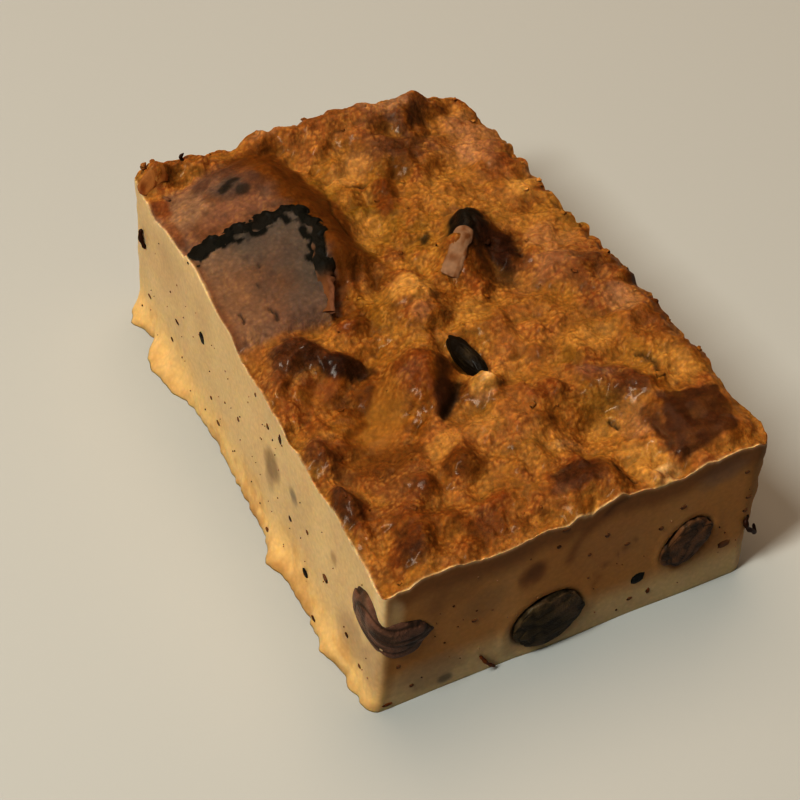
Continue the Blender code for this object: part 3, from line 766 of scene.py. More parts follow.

# What stands out from the lumps round it, laid on last: black and glazed places, bare bread, and painted
# shadows beside the charred ridge, the slice's rim and the taller lumps.
CLEAR_PATCHES = (
    ("caramel_and_shadow", -19.6, -13.4, 5.4, 3.0, 20, 0.85),
    ("caramel_and_shadow", -12.6, 2.6, 2.6, 5.0, 10, 0.85),
    ("caramel_and_shadow", -4.6, 10.2, 3.0, 4.6, -15, 0.80),
    ("caramel_and_shadow", 20.6, 10.6, 3.0, 4.6, 15, 0.80),
    ("caramel_and_shadow", -4.3, -21.4, 1.9, 2.8, 20, 0.85),
    ("honey", -12.8, -22.6, 3.6, 2.6, 50, 0.80),
    ("honey", -12.4, -5.4, 3.4, 3.2, 0, 0.50),
    ("honey", 4.6, 1.4, 2.8, 4.0, 10, 0.60),
    ("honey", 20.4, 2.4, 3.4, 2.8, 0, 0.42),
    ("rust", -28.4, -14.6, 3.0, 4.4, 0, 0.55),
    ("rust", -27.2, -22.0, 2.6, 3.0, 0, 0.40),
    ("brown", -28.6, -29.4, 2.6, 3.0, 0, 0.40),
    ("rust", -28.2, -38.4, 2.8, 3.6, 0, 0.55),
    ("rust", -12.6, -45.6, 4.2, 3.0, 10, 0.50),
    ("caramel_and_shadow", 20.6, -38.8, 2.2, 2.8, -30, 0.80),
    ("chocolate", 19.6, -45.2, 1.7, 4.6, 8, 0.85),
    ("bright", -12.4, -30.2, 3.4, 2.2, 20, 0.50),
    ("bright", -4.6, -29.4, 3.2, 2.8, 0, 0.42),
    ("bright", 28.8, -30.8, 2.8, 3.8, 0, 0.50),
    ("rust", 28.8, -21.8, 2.8, 3.4, 10, 0.48),
    ("tan", 29.0, -13.6, 2.8, 3.6, 0, 0.50),
    ("rust", 27.6, 17.8, 3.2, 2.8, 0, 0.50),
    ("rust", 28.4, 27.4, 3.2, 2.2, 0, 0.40),
    ("olive", -3.8, 17.4, 2.6, 3.8, 0, 0.60),
    ("caramel_and_shadow", -4.4, 25.6, 1.8, 4.6, -10, 0.55),
    ("olive", -4.0, 34.4, 2.4, 3.8, 0, 0.60),
    ("caramel_and_shadow", 11.6, 34.4, 3.8, 2.2, 10, 0.60),
    ("char", 14.8, 13.0, 5.8, 3.2, 40, 0.92),
    ("dark", 18.0, 8.4, 3.6, 5.8, 10, 0.95),
    ("dark", 15.4, 3.2, 3.4, 3.4, 0, 0.45),
    ("char", 7.4, 15.6, 1.6, 0.9, 50, 0.6),
    ("dark", -8.8, 17.4, 2.2, 8.0, 0, 0.95),
    ("dark", -7.4, -21.2, 4.6, 1.7, 62, 0.92),
    ("dark", -18.7, -7.7, 4.2, 2.4, -20, 0.92),
    ("chocolate", -24.0, -2.4, 4.8, 3.6, 20, 0.72),
    ("dark", -22.0, -3.8, 2.2, 1.4, 0, 0.5),
    ("caramel_and_shadow", -21.0, -28.0, 6.2, 4.4, 0, 0.72),
    ("caramel_and_shadow", -11.0, -35.2, 3.8, 2.8, 0, 0.88),
    ("dark", -25.4, -47.2, 2.8, 2.0, 0, 0.48),
    ("caramel_and_shadow", -12.0, -48.2, 5.6, 2.6, 0, 0.62),
    ("caramel_and_shadow", -18.6, -41.0, 3.0, 3.4, 0, 0.45),
    ("chocolate", 3.0, -45.8, 4.2, 3.2, 0, 0.84),
    ("chocolate", -30.8, -33.6, 2.8, 3.6, 0, 0.60),
    ("chocolate", -31.0, -22.8, 2.4, 2.8, 0, 0.40),
    ("caramel_and_shadow", 33.2, -18.4, 2.0, 4.6, 0, 0.55),
    ("chocolate", 20.8, -33.0, 2.4, 1.6, -40, 0.35),
    ("caramel_and_shadow", 26.6, -3.2, 2.2, 2.2, 0, 0.20),
    ("caramel_and_shadow", 6.6, 28.6, 3.6, 1.5, 70, 0.50),
    ("bright", -0.8, -22.2, 2.8, 2.2, 20, 0.85),
    ("cream", -0.4, -22.0, 1.4, 1.0, 20, 0.40),
    ("bright", -2.2, 2.9, 4.2, 4.4, 0, 0.78),
    ("bright", 29.8, 22.4, 2.8, 2.8, 0, 0.72),
    ("bright", -0.4, 22.4, 5.6, 3.0, 60, 0.42),
    ("bright", 2.0, 37.0, 5.0, 2.4, 20, 0.40),
    ("tan", 15.8, 48.8, 5.6, 2.0, 0, 0.60),
    ("tan", -6.0, 50.6, 6.0, 1.4, 0, 0.45),
    ("bright", 5.2, -5.6, 4.0, 3.0, 0, 0.22),
    ("bright", 20.1, -19.4, 4.6, 3.0, 0, 0.38),
    ("bright", 12.8, -36.4, 3.0, 2.2, 0, 0.30),
    ("tan", 24.4, 0.0, 3.6, 3.4, 0, 0.32),
    ("tan", 27.4, 34.6, 3.4, 4.4, 0, 0.40),
)

# Where the oven coloured the heel of bread, in the same way.
HEEL_PATCHES = (
    ("rosy", -28.6, 38.0, 4.8, 6.4, 0, 0.8),
    ("chocolate", -17.0, 39.0, 6.0, 6.0, 0, 0.5),
    ("grey", -20.5, 38.5, 3.6, 3.2, 0, 0.5),
    ("pink tan", -22.0, 31.6, 6.0, 2.6, 0, 0.55),
    ("brown", -14.4, 42.4, 5.4, 2.4, -66, 0.8),
    ("char", -20.9, 37.8, 1.9, 1.4, 40, 0.8),
    ("char", -18.6, 39.2, 1.5, 1.0, 0, 0.75),
    ("char", -18.2, 35.6, 1.3, 1.2, 0, 0.6),
    ("dark", -23.2, 42.6, 2.8, 1.3, 10, 0.45),
    ("rust", -31.6, 43.0, 2.0, 4.0, 0, 0.85),
    ("orange", -28.0, 47.6, 6.0, 2.2, -12, 0.7),
    ("rust", -32.6, 34.0, 1.0, 6.0, 0, 0.5),
    ("amber", -33.0, 51.0, 2.2, 2.0, 0, 0.8),
    ("chocolate", -16.6, 45.6, 6.0, 2.8, 0, 0.45),
)


# The piece of crust near the front right corner: four corners of its dark, nearly square top.
SQUARE_CRUST = ((18.6, -50.0), (30.4, -48.2), (32.4, -37.6), (21.8, -36.2))


def inside_outline(x, y, corners):
    """How far inside a convex outline a place is, in millimetres: the least over its sides."""
    deep = []
    for (ax, ay), (bx, by) in zip(corners, corners[1:] + corners[:1]):
        long = math.hypot(bx - ax, by - ay)
        deep.append(((bx - ax) * (y - ay) - (by - ay) * (x - ax)) / long)
    return np.min(deep, axis=0)


def add_patches(colour, x, y, patches):
    """Blend each patch in over the last, with edges that wander by its own soft noise."""
    wander = 0.22 * soft_noise(x, y, 0 * x, 2.6, 71.0) + 0.14 * soft_noise(x, y, 0 * x, 1.1, 72.0)
    for name, *place, strength in patches:
        out = oval(x, y, *place) + wander
        colour = blend_tone(colour, name, strength * (1 - smoothstep((out - 0.62) / 0.62)))
    return colour


def forms_of_top(x, y):
    """How far each place stands over its neighbours 3.5 mm off, and how steeply it falls to the
    right: the lumps are browned on top, and their right flanks, which face away from the light, are given
    painted shade."""
    far, near = 3.5, 1.2
    here = broad_top(x, y)
    round_it = [broad_top(x + far * a, y + far * b) for a, b in ((1, 0), (-1, 0), (0, 1), (0, -1))]
    flank = (broad_top(x - near, y) - broad_top(x + near, y)) / (2 * near)
    flank = flank + 0.5 * (broad_top(x, y + near) - broad_top(x, y - near)) / (2 * near)
    return here - np.mean(round_it, axis=0), flank


def broad_top(x, y):
    """The top's forms without its fine relief, the heel and the slice: only the crags and lumps."""
    height = sum(place[-1] * crag(x, y, *place[:-1]) for place in CRAGS.values())
    height = height + sum(share * soft_noise(x, y, 0 * x, size, 3.0) for size, share in CRUMB_SIZES)
    return height + LUMP_RISE * large_lumps(x, y)


RIM_CHAR = 3.6  # how far in from its rim the torn slice is black


def top_tone(x, y):
    """Colour of the browned top: gold, amber and orange crumb, its patches, the heel and the slice, with
    painted shade on the lumps' right flanks, in creases and in splits, and painted shadows beside the
    crest, the rim and the ridge.
    """
    flat = np.zeros_like(x)
    broad, middle, small = (soft_noise(x, y, flat, s, 80.0 + s) for s in (9.0, 4.0, 1.7))
    _, coarse, fine = crumb_relief(x, y)
    colour = plain("amber", len(x))
    colour = blend_tone(colour, "gold", 0.5 + 0.6 * broad + 0.5 * middle)
    colour = blend_tone(colour, "orange", 0.25 + 0.6 * middle - 0.5 * broad + 0.4 * small)
    colour = blend_tone(colour, "rust", smoothstep((small + 0.6 * middle - 0.26) / 0.5) * 0.62)
    colour = add_patches(colour, x, y, TOP_PATCHES)
    rise, shaded_right_flank = forms_of_top(x, y)
    colour = blend_tone(colour, "gold", smoothstep((-rise - 0.05) / 0.8) * 0.55)
    colour = blend_tone(colour, "rust", smoothstep((rise - 0.15) / 0.9) * 0.45)
    # Painted shade on the right flanks of the lumps, which face away from the light, darkest where they
    # fall most steeply.
    colour = blend_tone(colour, "honey", smoothstep((shaded_right_flank - 0.18) / 0.5) * 0.75)
    colour = blend_tone(colour, "dark", smoothstep((shaded_right_flank - 0.55) / 0.6) * 0.7)
    colour = add_patches(colour, x, y, CLEAR_PATCHES)
    crust = inside_outline(x, y, SQUARE_CRUST) + 0.5 * soft_noise(x, y, flat, 1.6, 97.0)
    colour = blend_tone(colour, "chocolate", smoothstep(crust / 0.7) * (0.92 + 0.25 * small))
    # The painted shadow of the heel's crest and the slice's rim, over the smooth zone right of them.
    caramel_and_shadow = shadowed_zone_share(x, y)
    colour = blend_tone(colour, "caramel_and_shadow", 0.9 * caramel_and_shadow)
    heel = heel_height(x, y)[1]
    heel_colour = plain("mauve", len(x))
    heel_colour = blend_tone(heel_colour, "brown", 0.25 + 0.7 * middle)
    heel_colour = blend_tone(heel_colour, "pink tan", 0.25 + 0.4 * small)
    heel_colour = add_patches(heel_colour, x, y, HEEL_PATCHES)
    # The heel's slope past its crest faces away from the light and is painted in shade.
    beyond_crest = x - (HEEL_CREST + HEEL_CREST_DRAW * (HEEL_BACK - y))
    shade_over_crest = beyond_crest / 4.0 + 1.1 + 0.35 * small + 0.45 * middle
    heel_colour = blend_tone(heel_colour, "caramel_and_shadow", smoothstep(shade_over_crest))
    share = smoothstep(heel / 0.5)[:, None]
    colour = colour * (1 - share) + heel_colour * share
    slice_share = smoothstep(slice_height(x, y)[1] / 0.4)[:, None]
    rim = past_rim(x, y)
    slice_colour = plain("brown", len(x))
    slice_colour = blend_tone(slice_colour, "mauve", 0.60 + 0.5 * middle)
    slice_colour = blend_tone(slice_colour, "grey", 0.25 + smoothstep((rim + 11) / 9) * 0.55)
    slice_colour = blend_tone(slice_colour, "pink tan", smoothstep((14 - y) / 14) * 0.5)
    slice_colour = blend_tone(slice_colour, "rosy", smoothstep((-22.0 - x) / 7.0) * 0.45)
    slice_colour = blend_tone(slice_colour, "rust", smoothstep((x - SLICE_LEFT - 2.6) / -2.4) * 0.5)
    fingers = 1.5 * soft_noise(x, y, flat, 1.5, 91.0) + 0.9 * soft_noise(x, y, flat, 0.8, 92.0)
    charred = smoothstep((rim + RIM_CHAR + fingers) / 0.8) * smoothstep((y - 9) / 6)
    slice_colour = blend_tone(slice_colour, "char", charred)
    colour = colour * (1 - slice_share) + slice_colour * slice_share
    # Paler tops on the grains, partly their own colour and partly painted highlight, and painted shade in
    # the cracks between them.
    granules = smoothstep((fine - 0.45) / 0.4) * smoothstep(0.5 + 0.8 * small)
    crumbly = crumb_share(x, y)
    lit = smoothstep(colour[:, 0] / 0.16 - 0.35)
    colour = blend_tone(colour, "bright", 0.34 * granules * crumbly * lit)
    colour = blend_tone(colour, "rust", 0.14 * (1 - fine) * crumbly * lit)
    # Painted shade in the creases between the lumps and the grains, and in the splits, with a little random
    # tone.
    shade = 0.86 + 0.14 * coarse + 0.06 * fine
    shade = 1 + (shade - 1) * crumb_share(x, y)
    shade = shade * (1 + 0.10 * small) * (1 - 0.75 * np.minimum(1, split_depth(x, y) / 0.5))
    return colour * shade[:, None]


# Marks in the cut sides, from bread and fruit just under the custard: tone, place along the side
# and height, half sizes, turn, strength. The first list is of the left side and the second of
# the front.
LEFT_MARKS = (
    ("chocolate", -11.3, 16.0, 3.4, 3.2, 0, 0.55),
    ("mauve", -11.0, 12.6, 2.2, 2.6, 0, 0.35),
    ("grey", -20.0, 17.3, 1.8, 1.6, 0, 0.6),
    ("brown", -35.0, 18.0, 1.2, 1.4, 0, 0.4),
    ("rosy", -43.0, 8.0, 6.0, 5.0, 0, 0.4),
    ("rosy", -50.0, 9.0, 3.0, 7.0, 0, 0.35),
    ("cream", -51.0, 23.5, 2.2, 4.5, 0, 0.6),
    ("tan", 40.0, 20.0, 10.0, 7.0, 0, 0.22),
    ("rosy", 28.0, 24.0, 14.0, 5.0, 0, 0.12),
)
FRONT_MARKS = (
    ("dark toffee", -7.7, 19.4, 3.4, 2.6, 55, 0.95),
    ("chocolate", -7.4, 20.4, 2.2, 1.4, 60, 0.35),
    ("rosy", 25.4, 26.6, 5.0, 2.8, 12, 0.6),
    ("brown", 24.8, 28.4, 4.6, 1.4, 12, 0.45),
    ("gold", 32.6, 22.0, 2.6, 8.0, 0, 0.45),
    ("brown", -22.0, 22.5, 6.5, 4.0, 10, 0.30),
    ("brown", -12.0, 24.5, 5.5, 3.0, 10, 0.28),
    ("grey", -16.0, 17.0, 5.0, 3.4, 20, 0.22),
    ("rosy", -25.0, 5.0, 7.0, 4.0, 0, 0.45),
    ("rosy", -8.5, 3.4, 5.0, 2.6, 0, 0.3),
    ("amber", 18.9, 8.4, 1.6, 2.0, 30, 0.6),
    ("cream", -31.8, 22.0, 2.4, 4.6, 0, 0.6),
    ("gold", -32.4, 8.0, 1.6, 7.0, 0, 0.4),
    ("tan", 6.0, 20.0, 8.0, 6.0, 0, 0.22),
    ("grey", -22.4, 2.1, 1.4, 1.2, 0, 0.6),
    ("gold", 14.5, 29.6, 4.5, 1.4, 0, 0.5),
)
FRONT_STREAKS = (
    ("dark toffee", ((5.5, 28.0), (3.4, 26.9), (1.5, 25.4), (-0.4, 22.8), (-1.4, 19.4)), 0.9, 0.8),
    ("chocolate", ((8.2, 29.4), (5.6, 28.7), (4.4, 27.4)), 0.5, 0.6),
    ("brown", ((10.8, 18.6), (8.6, 17.2), (6.3, 15.7), (3.5, 13.7)), 0.30, 0.55),
    ("brown", ((-22.0, 24.6), (-24.5, 21.0), (-24.0, 17.5)), 1.2, 0.28),
    ("rust", ((3.4, 10.6), (4.6, 12.8)), 0.5, 0.4),
)


def on_cut_sides(u, v):
    """1 on the left cut side, and 1 on the front one, each 0 on the rest."""
    return smoothstep((-2 * u - 0.93) / 0.07), smoothstep((-2 * v - 0.96) / 0.04)


def side_tone(x, y, z, up, u, v):
    """Colour of the sides: custard, yellower in the foot, its marks, the front side painted in shade, and
    browned far sides with painted shade in their cracks.
    """
    mottle = soft_noise(x, y, 0.35 * z, 6.0, 101.0)
    small = soft_noise(x, y, z, 1.6, 103.0)
    colour = plain("custard", len(x))
    colour = blend_tone(colour, "tan", 0.12 + 0.16 * mottle + 0.05 * small)
    left, front = on_cut_sides(u, v)
    front = front * (1 - left)
    baked = 1 - np.maximum(left, front)
    low = smoothstep((9.5 + 2.0 * mottle - z) / 8.0)
    colour = blend_tone(colour, "foot", left * low * 0.8)
    toasted = smoothstep((mottle + 0.7 * small - 0.1) / 0.7)
    colour = blend_tone(colour, "toffee_and_shade", left * low * toasted * 0.35)
    crust = smoothstep((2.2 - z) / 2.0) * left * (0.3 + 0.3 * mottle)
    colour = blend_tone(colour, "amber", crust)
    # The front side faces away from the light and is painted in shade: browner up its height, paler near
    # the floor, where the floor lights it, and darkest just under the top edge.
    in_shade = smoothstep((z - 3.0) / 7.0)
    colour = blend_tone(colour, "toffee_and_shade", front * (0.10 + 0.80 * in_shade) * (1 + 0.15 * mottle))
    colour = blend_tone(colour, "cream", front * (1 - in_shade) * 0.6)
    shade_under_edge = smoothstep((z - 0.80 * rim_height_of(up, z)) / 3.5)
    colour = blend_tone(colour, "dark toffee", front * shade_under_edge * 0.85)
    for name, *place, strength in LEFT_MARKS:
        out = oval(y, z, *place) + 0.15 * small
        colour = blend_tone(colour, name, left * strength * (1 - smoothstep((out - 0.5) / 0.7)))
    for name, *place, strength in FRONT_MARKS:
        out = oval(x, z, *place) + 0.15 * small
        colour = blend_tone(colour, name, front * strength * (1 - smoothstep((out - 0.5) / 0.7)))
    for name, places, half_wide, strength in FRONT_STREAKS:
        near = np.exp(-(from_line(x, z, places) / half_wide) ** 2)
        colour = blend_tone(colour, name, front * strength * near)
    # Painted shade in the crevice round each cut raisin.
    bed = np.min([oval(x, z, *place) for place in FRONT_BEDS], axis=0)
    colour = blend_tone(colour, "dark", front * (1 - smoothstep((bed - 0.92) / 0.16)) * 0.8)
    from_top = (1 - up) * rim_height_of(up, z)
    browned = baked * smoothstep((9.0 + 4.0 * mottle + 2.0 * small - from_top) / 7.0)
    colour = blend_tone(colour, "gold", baked * 0.45)
    colour = blend_tone(colour, "orange", browned * 0.75)
    colour = blend_tone(colour, "rust", baked * smoothstep((small + mottle - 0.5) / 0.6) * 0.35)
    # Painted shade in the cracks between the crumbs of the baked sides.
    cracks = packed_crumbs(x, y, z, 2.6, 61.0)
    return colour * (1 - baked * 0.35 * (1 - cracks))[:, None]


def rim_height_of(up, z):
    """Height of the top straight above a place in a side, from its height and its share of it."""
    return z / np.maximum(up, 0.02)


def knife_line_and_highlight(colour, y, from_edge, wide):
    """The pale line along the two cut edges of the top: soft custard, and a painted highlight on the edge.
    """
    share = np.exp(-((from_edge / wide) ** 2)) * (0.75 + 0.25 * soft_noise(y, 0 * y, 0 * y, 3.0, 111.0))
    return blend_tone(colour, "cream", share)


top_x, top_y = plan_x.ravel(), plan_y.ravel()
top_colour = top_tone(top_x, top_y)
# A pale line along the two cut edges of the top: soft custard, with a painted highlight on the edge.
from_cut = np.minimum((top_x + WIDTH / 2), (top_y + LENGTH / 2))
line_width = 0.22 + 0.16 * soft_noise(top_x, top_y, 0 * top_x, 9.0, 113.0)
top_colour = knife_line_and_highlight(top_colour, top_x + top_y, from_cut, line_width)

all_u = np.tile(rim_u, LEVELS)
all_v = np.tile(rim_v, LEVELS)
flat_x, flat_y, flat_z, flat_up = (a.ravel() for a in (side_x, side_y, side_z, side_up))
side_colour = side_tone(flat_x, flat_y, flat_z, flat_up, all_u, all_v)
cut_side = np.maximum(*on_cut_sides(all_u, all_v))
below_edge = (1 - flat_up) * np.tile(rim_z, LEVELS)
# The same pale line down the cut sides: soft custard, with a painted highlight on the edge.
side_colour = knife_line_and_highlight(side_colour, flat_x + flat_y, below_edge + 2 * (1 - cut_side), 0.45)

under_colour = plain("foot", len(pudding_points) - len(top_colour) - len(side_colour))
under_x, under_y = pudding_points[-len(under_colour):, 0], pudding_points[-len(under_colour):, 1]
under_mottle = soft_noise(under_x, under_y, 0 * under_x, 7.0, 121.0)
under_colour = blend_tone(under_colour, "amber", 0.45 + 0.5 * under_mottle)

# How each place takes the light: gloss from the glaze, and grain from the crumb.
top_small = soft_noise(top_x, top_y, 0 * top_x, 1.4, 131.0)
top_broad = soft_noise(top_x, top_y, 0 * top_x, 6.0, 132.0)
top_slice, top_heel = slice_height(top_x, top_y)[1], heel_height(top_x, top_y)[1]
dry = np.maximum(top_slice, 0.8 * top_heel)
top_gloss = np.clip(0.50 + 0.35 * top_small + 0.25 * top_broad, 0, 1) * (1 - 0.85 * dry)
top_grain = np.clip(0.25 + 0.75 * crumb_share(top_x, top_y), 0, 1)
side_gloss = 0.35 * cut_side + 0.15
side_grain = 0.06 + 0.75 * (1 - cut_side)
gloss = np.concatenate([top_gloss, side_gloss, np.full(len(under_colour), 0.1)])
grain = np.concatenate([top_grain, side_grain, np.full(len(under_colour), 0.3)])


def link(tree, out, into):
    """Join an output socket to an input socket."""
    tree.links.new(out, into)


def value_of(tree, operation, *terms):
    """A Math node whose inputs are sockets or plain numbers, and its output."""
    node = tree.nodes.new("ShaderNodeMath")
    node.operation = operation
    for socket, term in zip(node.inputs, terms):
        if isinstance(term, (int, float)):
            socket.default_value = term
        else:
            link(tree, term, socket)
    return node.outputs[0]


def crumb_group():
    """A node group for food: fine mottle and pores in millimetres on Object coordinates.

    In: Size, which stretches both. Out: Mottle, a mask of about 0 to 1 for colour, 0.55 of noise
    and 0.45 of round grains, and Height, which is lowest in the pores, for a Bump node.
    """
    tree = bpy.data.node_groups.new("food_crumb", "ShaderNodeTree")
    for name, kind, way in (("Size", "NodeSocketFloat", "INPUT"), ("Mottle", "NodeSocketFloat", "OUTPUT"),
                            ("Height", "NodeSocketFloat", "OUTPUT")):
        tree.interface.new_socket(name, in_out=way, socket_type=kind)
    enter = tree.nodes.new("NodeGroupInput")
    leave = tree.nodes.new("NodeGroupOutput")
    place = tree.nodes.new("ShaderNodeTexCoord")
    in_mm = tree.nodes.new("ShaderNodeVectorMath")
    in_mm.operation = "SCALE"
    in_mm.inputs["Scale"].default_value = 1000.0
    link(tree, place.outputs["Object"], in_mm.inputs[0])
    sized = tree.nodes.new("ShaderNodeVectorMath")
    sized.operation = "DIVIDE"
    link(tree, in_mm.outputs[0], sized.inputs[0])
    link(tree, enter.outputs["Size"], sized.inputs[1])
    mottle = tree.nodes.new("ShaderNodeTexNoise")
    mottle.inputs["Scale"].default_value = 0.9
    mottle.inputs["Detail"].default_value = 4.0
    mottle.inputs["Roughness"].default_value = 0.62
    grains = tree.nodes.new("ShaderNodeTexVoronoi")
    grains.inputs["Scale"].default_value = 1.1
    grains.feature = "SMOOTH_F1"
    fine = tree.nodes.new("ShaderNodeTexNoise")
    fine.inputs["Scale"].default_value = 2.6
    fine.inputs["Detail"].default_value = 3.0
    for texture in (mottle, grains, fine):
        link(tree, sized.outputs[0], texture.inputs["Vector"])
    rounded = value_of(tree, "SUBTRACT", 1.0, grains.outputs["Distance"])
    height = value_of(tree, "MULTIPLY_ADD", fine.outputs["Fac"], 0.8, rounded)
    grainy = value_of(tree, "MULTIPLY", rounded, 0.45)
    speckled = value_of(tree, "MULTIPLY_ADD", mottle.outputs["Fac"], 0.55, grainy)
    link(tree, speckled, leave.inputs["Mottle"])
    link(tree, height, leave.inputs["Height"])
    return tree


food_crumb = crumb_group()

# How every food takes the light: the depth of its pores and how far light spreads in it, in
# millimetres, then how much of a clear glaze its glossiest place has, and the skin's own shine.
PORE_DEPTH = 0.35
LIGHT_SPREAD, SPREAD_BY_COLOUR = 1.0, (1.0, 0.42, 0.14)  # red light goes deepest into custard
GLAZE, GLAZE_IOR, SKIN_SHINE = 0.22, 1.4, 0.06


def food_finish(name, size, mottling, bump, gloss_range, translucence, coat_rough):
    """A finish for one food: its painted tone, mottled, glossed and grained by its painted masks."""
    made = bpy.data.materials.new(name)
    made.use_nodes = True
    tree = made.node_tree
    shader = tree.nodes["Principled BSDF"]
    painted = {}
    for mask in ("tone", "gloss", "grain"):
        painted[mask] = tree.nodes.new("ShaderNodeAttribute")
        painted[mask].attribute_name = mask
    crumb = tree.nodes.new("ShaderNodeGroup")
    crumb.node_tree = food_crumb
    crumb.inputs["Size"].default_value = size
    grain_value = painted["grain"].outputs["Fac"]
    gloss_value = painted["gloss"].outputs["Fac"]
    swing = value_of(tree, "SUBTRACT", crumb.outputs["Mottle"], 0.5)
    weight = value_of(tree, "MULTIPLY_ADD", grain_value, 0.8 * mottling, 0.2 * mottling)
    factor = value_of(tree, "MULTIPLY_ADD", swing, weight, 1.0)
    shaded = tree.nodes.new("ShaderNodeVectorMath")
    shaded.operation = "SCALE"
    link(tree, painted["tone"].outputs["Color"], shaded.inputs[0])
    link(tree, factor, shaded.inputs["Scale"])
    link(tree, shaded.outputs[0], shader.inputs["Base Color"])
    dull, shiny = gloss_range
    rough = value_of(tree, "MULTIPLY_ADD", gloss_value, shiny - dull, dull)
    rough = value_of(tree, "MULTIPLY_ADD", swing, 0.25, rough)
    link(tree, rough, shader.inputs["Roughness"])
    link(tree, value_of(tree, "MULTIPLY", gloss_value, GLAZE), shader.inputs["Coat Weight"])
    shader.inputs["Coat Roughness"].default_value = coat_rough
    shader.inputs["Coat IOR"].default_value = GLAZE_IOR
    shader.inputs["Specular IOR Level"].default_value = SKIN_SHINE
    shader.inputs["Subsurface Weight"].default_value = translucence
    shader.inputs["Subsurface Radius"].default_value = SPREAD_BY_COLOUR
    shader.inputs["Subsurface Scale"].default_value = LIGHT_SPREAD * MM
    relief = tree.nodes.new("ShaderNodeBump")
    relief.inputs["Distance"].default_value = PORE_DEPTH * MM
    relief.inputs["Strength"].default_value = bump
    height = value_of(tree, "MULTIPLY", crumb.outputs["Height"], grain_value)
    link(tree, height, relief.inputs["Height"])
    link(tree, relief.outputs["Normal"], shader.inputs["Normal"])
    return made


custard_finish = food_finish("browned_custard", 0.8, 1.7, 0.55, (0.72, 0.48), 0.5, 0.16)

top_index = np.arange(cols * rows).reshape(cols, rows)
ring_length = len(border)
first_ring = top_index[border[:, 0], border[:, 1]]
lower = np.arange((LEVELS + len(UNDER_RINGS)) * ring_length).reshape(-1, ring_length) + cols * rows
rings = closed(np.concatenate([first_ring[None], lower]))
pudding_faces = [
    grid_quads(top_index),
    grid_quads(rings),
    fan(rings[-1, :-1], len(pudding_points) - 1),
]
pudding = add_piece("pudding_body", pudding_points, pudding_faces, custard_finish)
paint_food(pudding, np.concatenate([top_colour, side_colour, under_colour]), gloss, grain)
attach(pudding, "root")
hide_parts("pudding")


# The raisins: dried grapes, baked in the custard. Two are cut through by the knife in the front
# face, one lies on the top, and a long one is folded round the cut corner.
RAISIN_BLUNTNESS = 2.5
WRINKLE, FINE_WRINKLE, SKIN_GRAIN = 0.10, 0.05, 0.014
KNIFE_DEPTH, KNIFE_LEFT = 0.3, 0.2
FRONT_RAISIN = {"at": (-4.6, -51.7, 7.2), "half": (6.1, 3.4, 5.1), "turn": -22}
RIGHT_RAISIN = {"at": (20.5, -51.7, 12.8), "half": (5.0, 3.0, 3.9), "turn": -53}
TOP_RAISIN = {"at": (0.1, -14.0, 28.7), "half": (5.0, 1.75, 1.8), "turn": 100}
FOLDED_RAISIN = {"half": (8.1, 2.2, 4.8), "corner": (-33.5, -52.2), "deep": 1.1, "up": 16.9}
FOLD_TIGHTNESS = 1.3
FOLD_DROOP = 1.1
RAISIN_AROUND, RAISIN_ALONG = 128, 88

RAISIN_TONES = {
    "raisin black": (0.012, 0.007, 0.003),
    "raisin green": (0.072, 0.048, 0.020),
    "raisin brown": (0.160, 0.074, 0.032),
    "raisin wine": (0.165, 0.082, 0.052),
    "raisin bloom": (0.170, 0.098, 0.052),
}
TONES.update(RAISIN_TONES)


def ball_grid(around, along):
    """Unit ball long in X: rings round the X axis between two poles, as points and faces."""
    turn = np.linspace(0, 2 * math.pi, around, endpoint=False)
    fall = np.linspace(0, math.pi, along + 2)[1:-1]
    fall, turn = np.meshgrid(fall, turn, indexing="ij")
    ball = np.stack([np.cos(fall), np.sin(fall) * np.cos(turn), np.sin(fall) * np.sin(turn)], axis=-1)
    points = np.concatenate([ball.reshape(-1, 3), [(1, 0, 0), (-1, 0, 0)]])
    index = np.arange(around * along).reshape(along, around)
    faces = [grid_quads(closed(index)), fan(index[0], len(points) - 2)[:, ::-1],
             fan(index[-1], len(points) - 1)]
    return points, faces


def wrinkled(points, seed):
    """Blunt a ball and press creases into it: its reach is 1, less the folds of a dried grape.

    The blunt shape has the sum of its coordinates' 2.5th powers constant. The creases are soft
    noise, squeezed across the grape so that they run along it, and the folds are the places
    where a finer noise crosses 0.
    """
    reach = (np.abs(points) ** RAISIN_BLUNTNESS).sum(axis=1) ** (1 / RAISIN_BLUNTNESS)
    creases = soft_noise(*(points * (1.0, 2.4, 2.4)).T, 0.8, seed)
    dents = soft_noise(*points.T, 0.75, seed + 3)
    folds = 1 - 3.0 * np.abs(soft_noise(*(points * (0.9, 1.4, 1.4)).T, 0.42, seed + 5) + 0.4 * dents)
    fine = soft_noise(*points.T, 0.16, seed + 9)
    grow = 1.0 + WRINKLE * (creases + dents) - FINE_WRINKLE * np.maximum(folds, 0) + SKIN_GRAIN * fine
    return points * (grow / reach)[:, None], folds, fine


raisin_finish = food_finish("raisin_skin", 0.8, 0.9, 0.8, (0.55, 0.34), 0.05, 0.24)


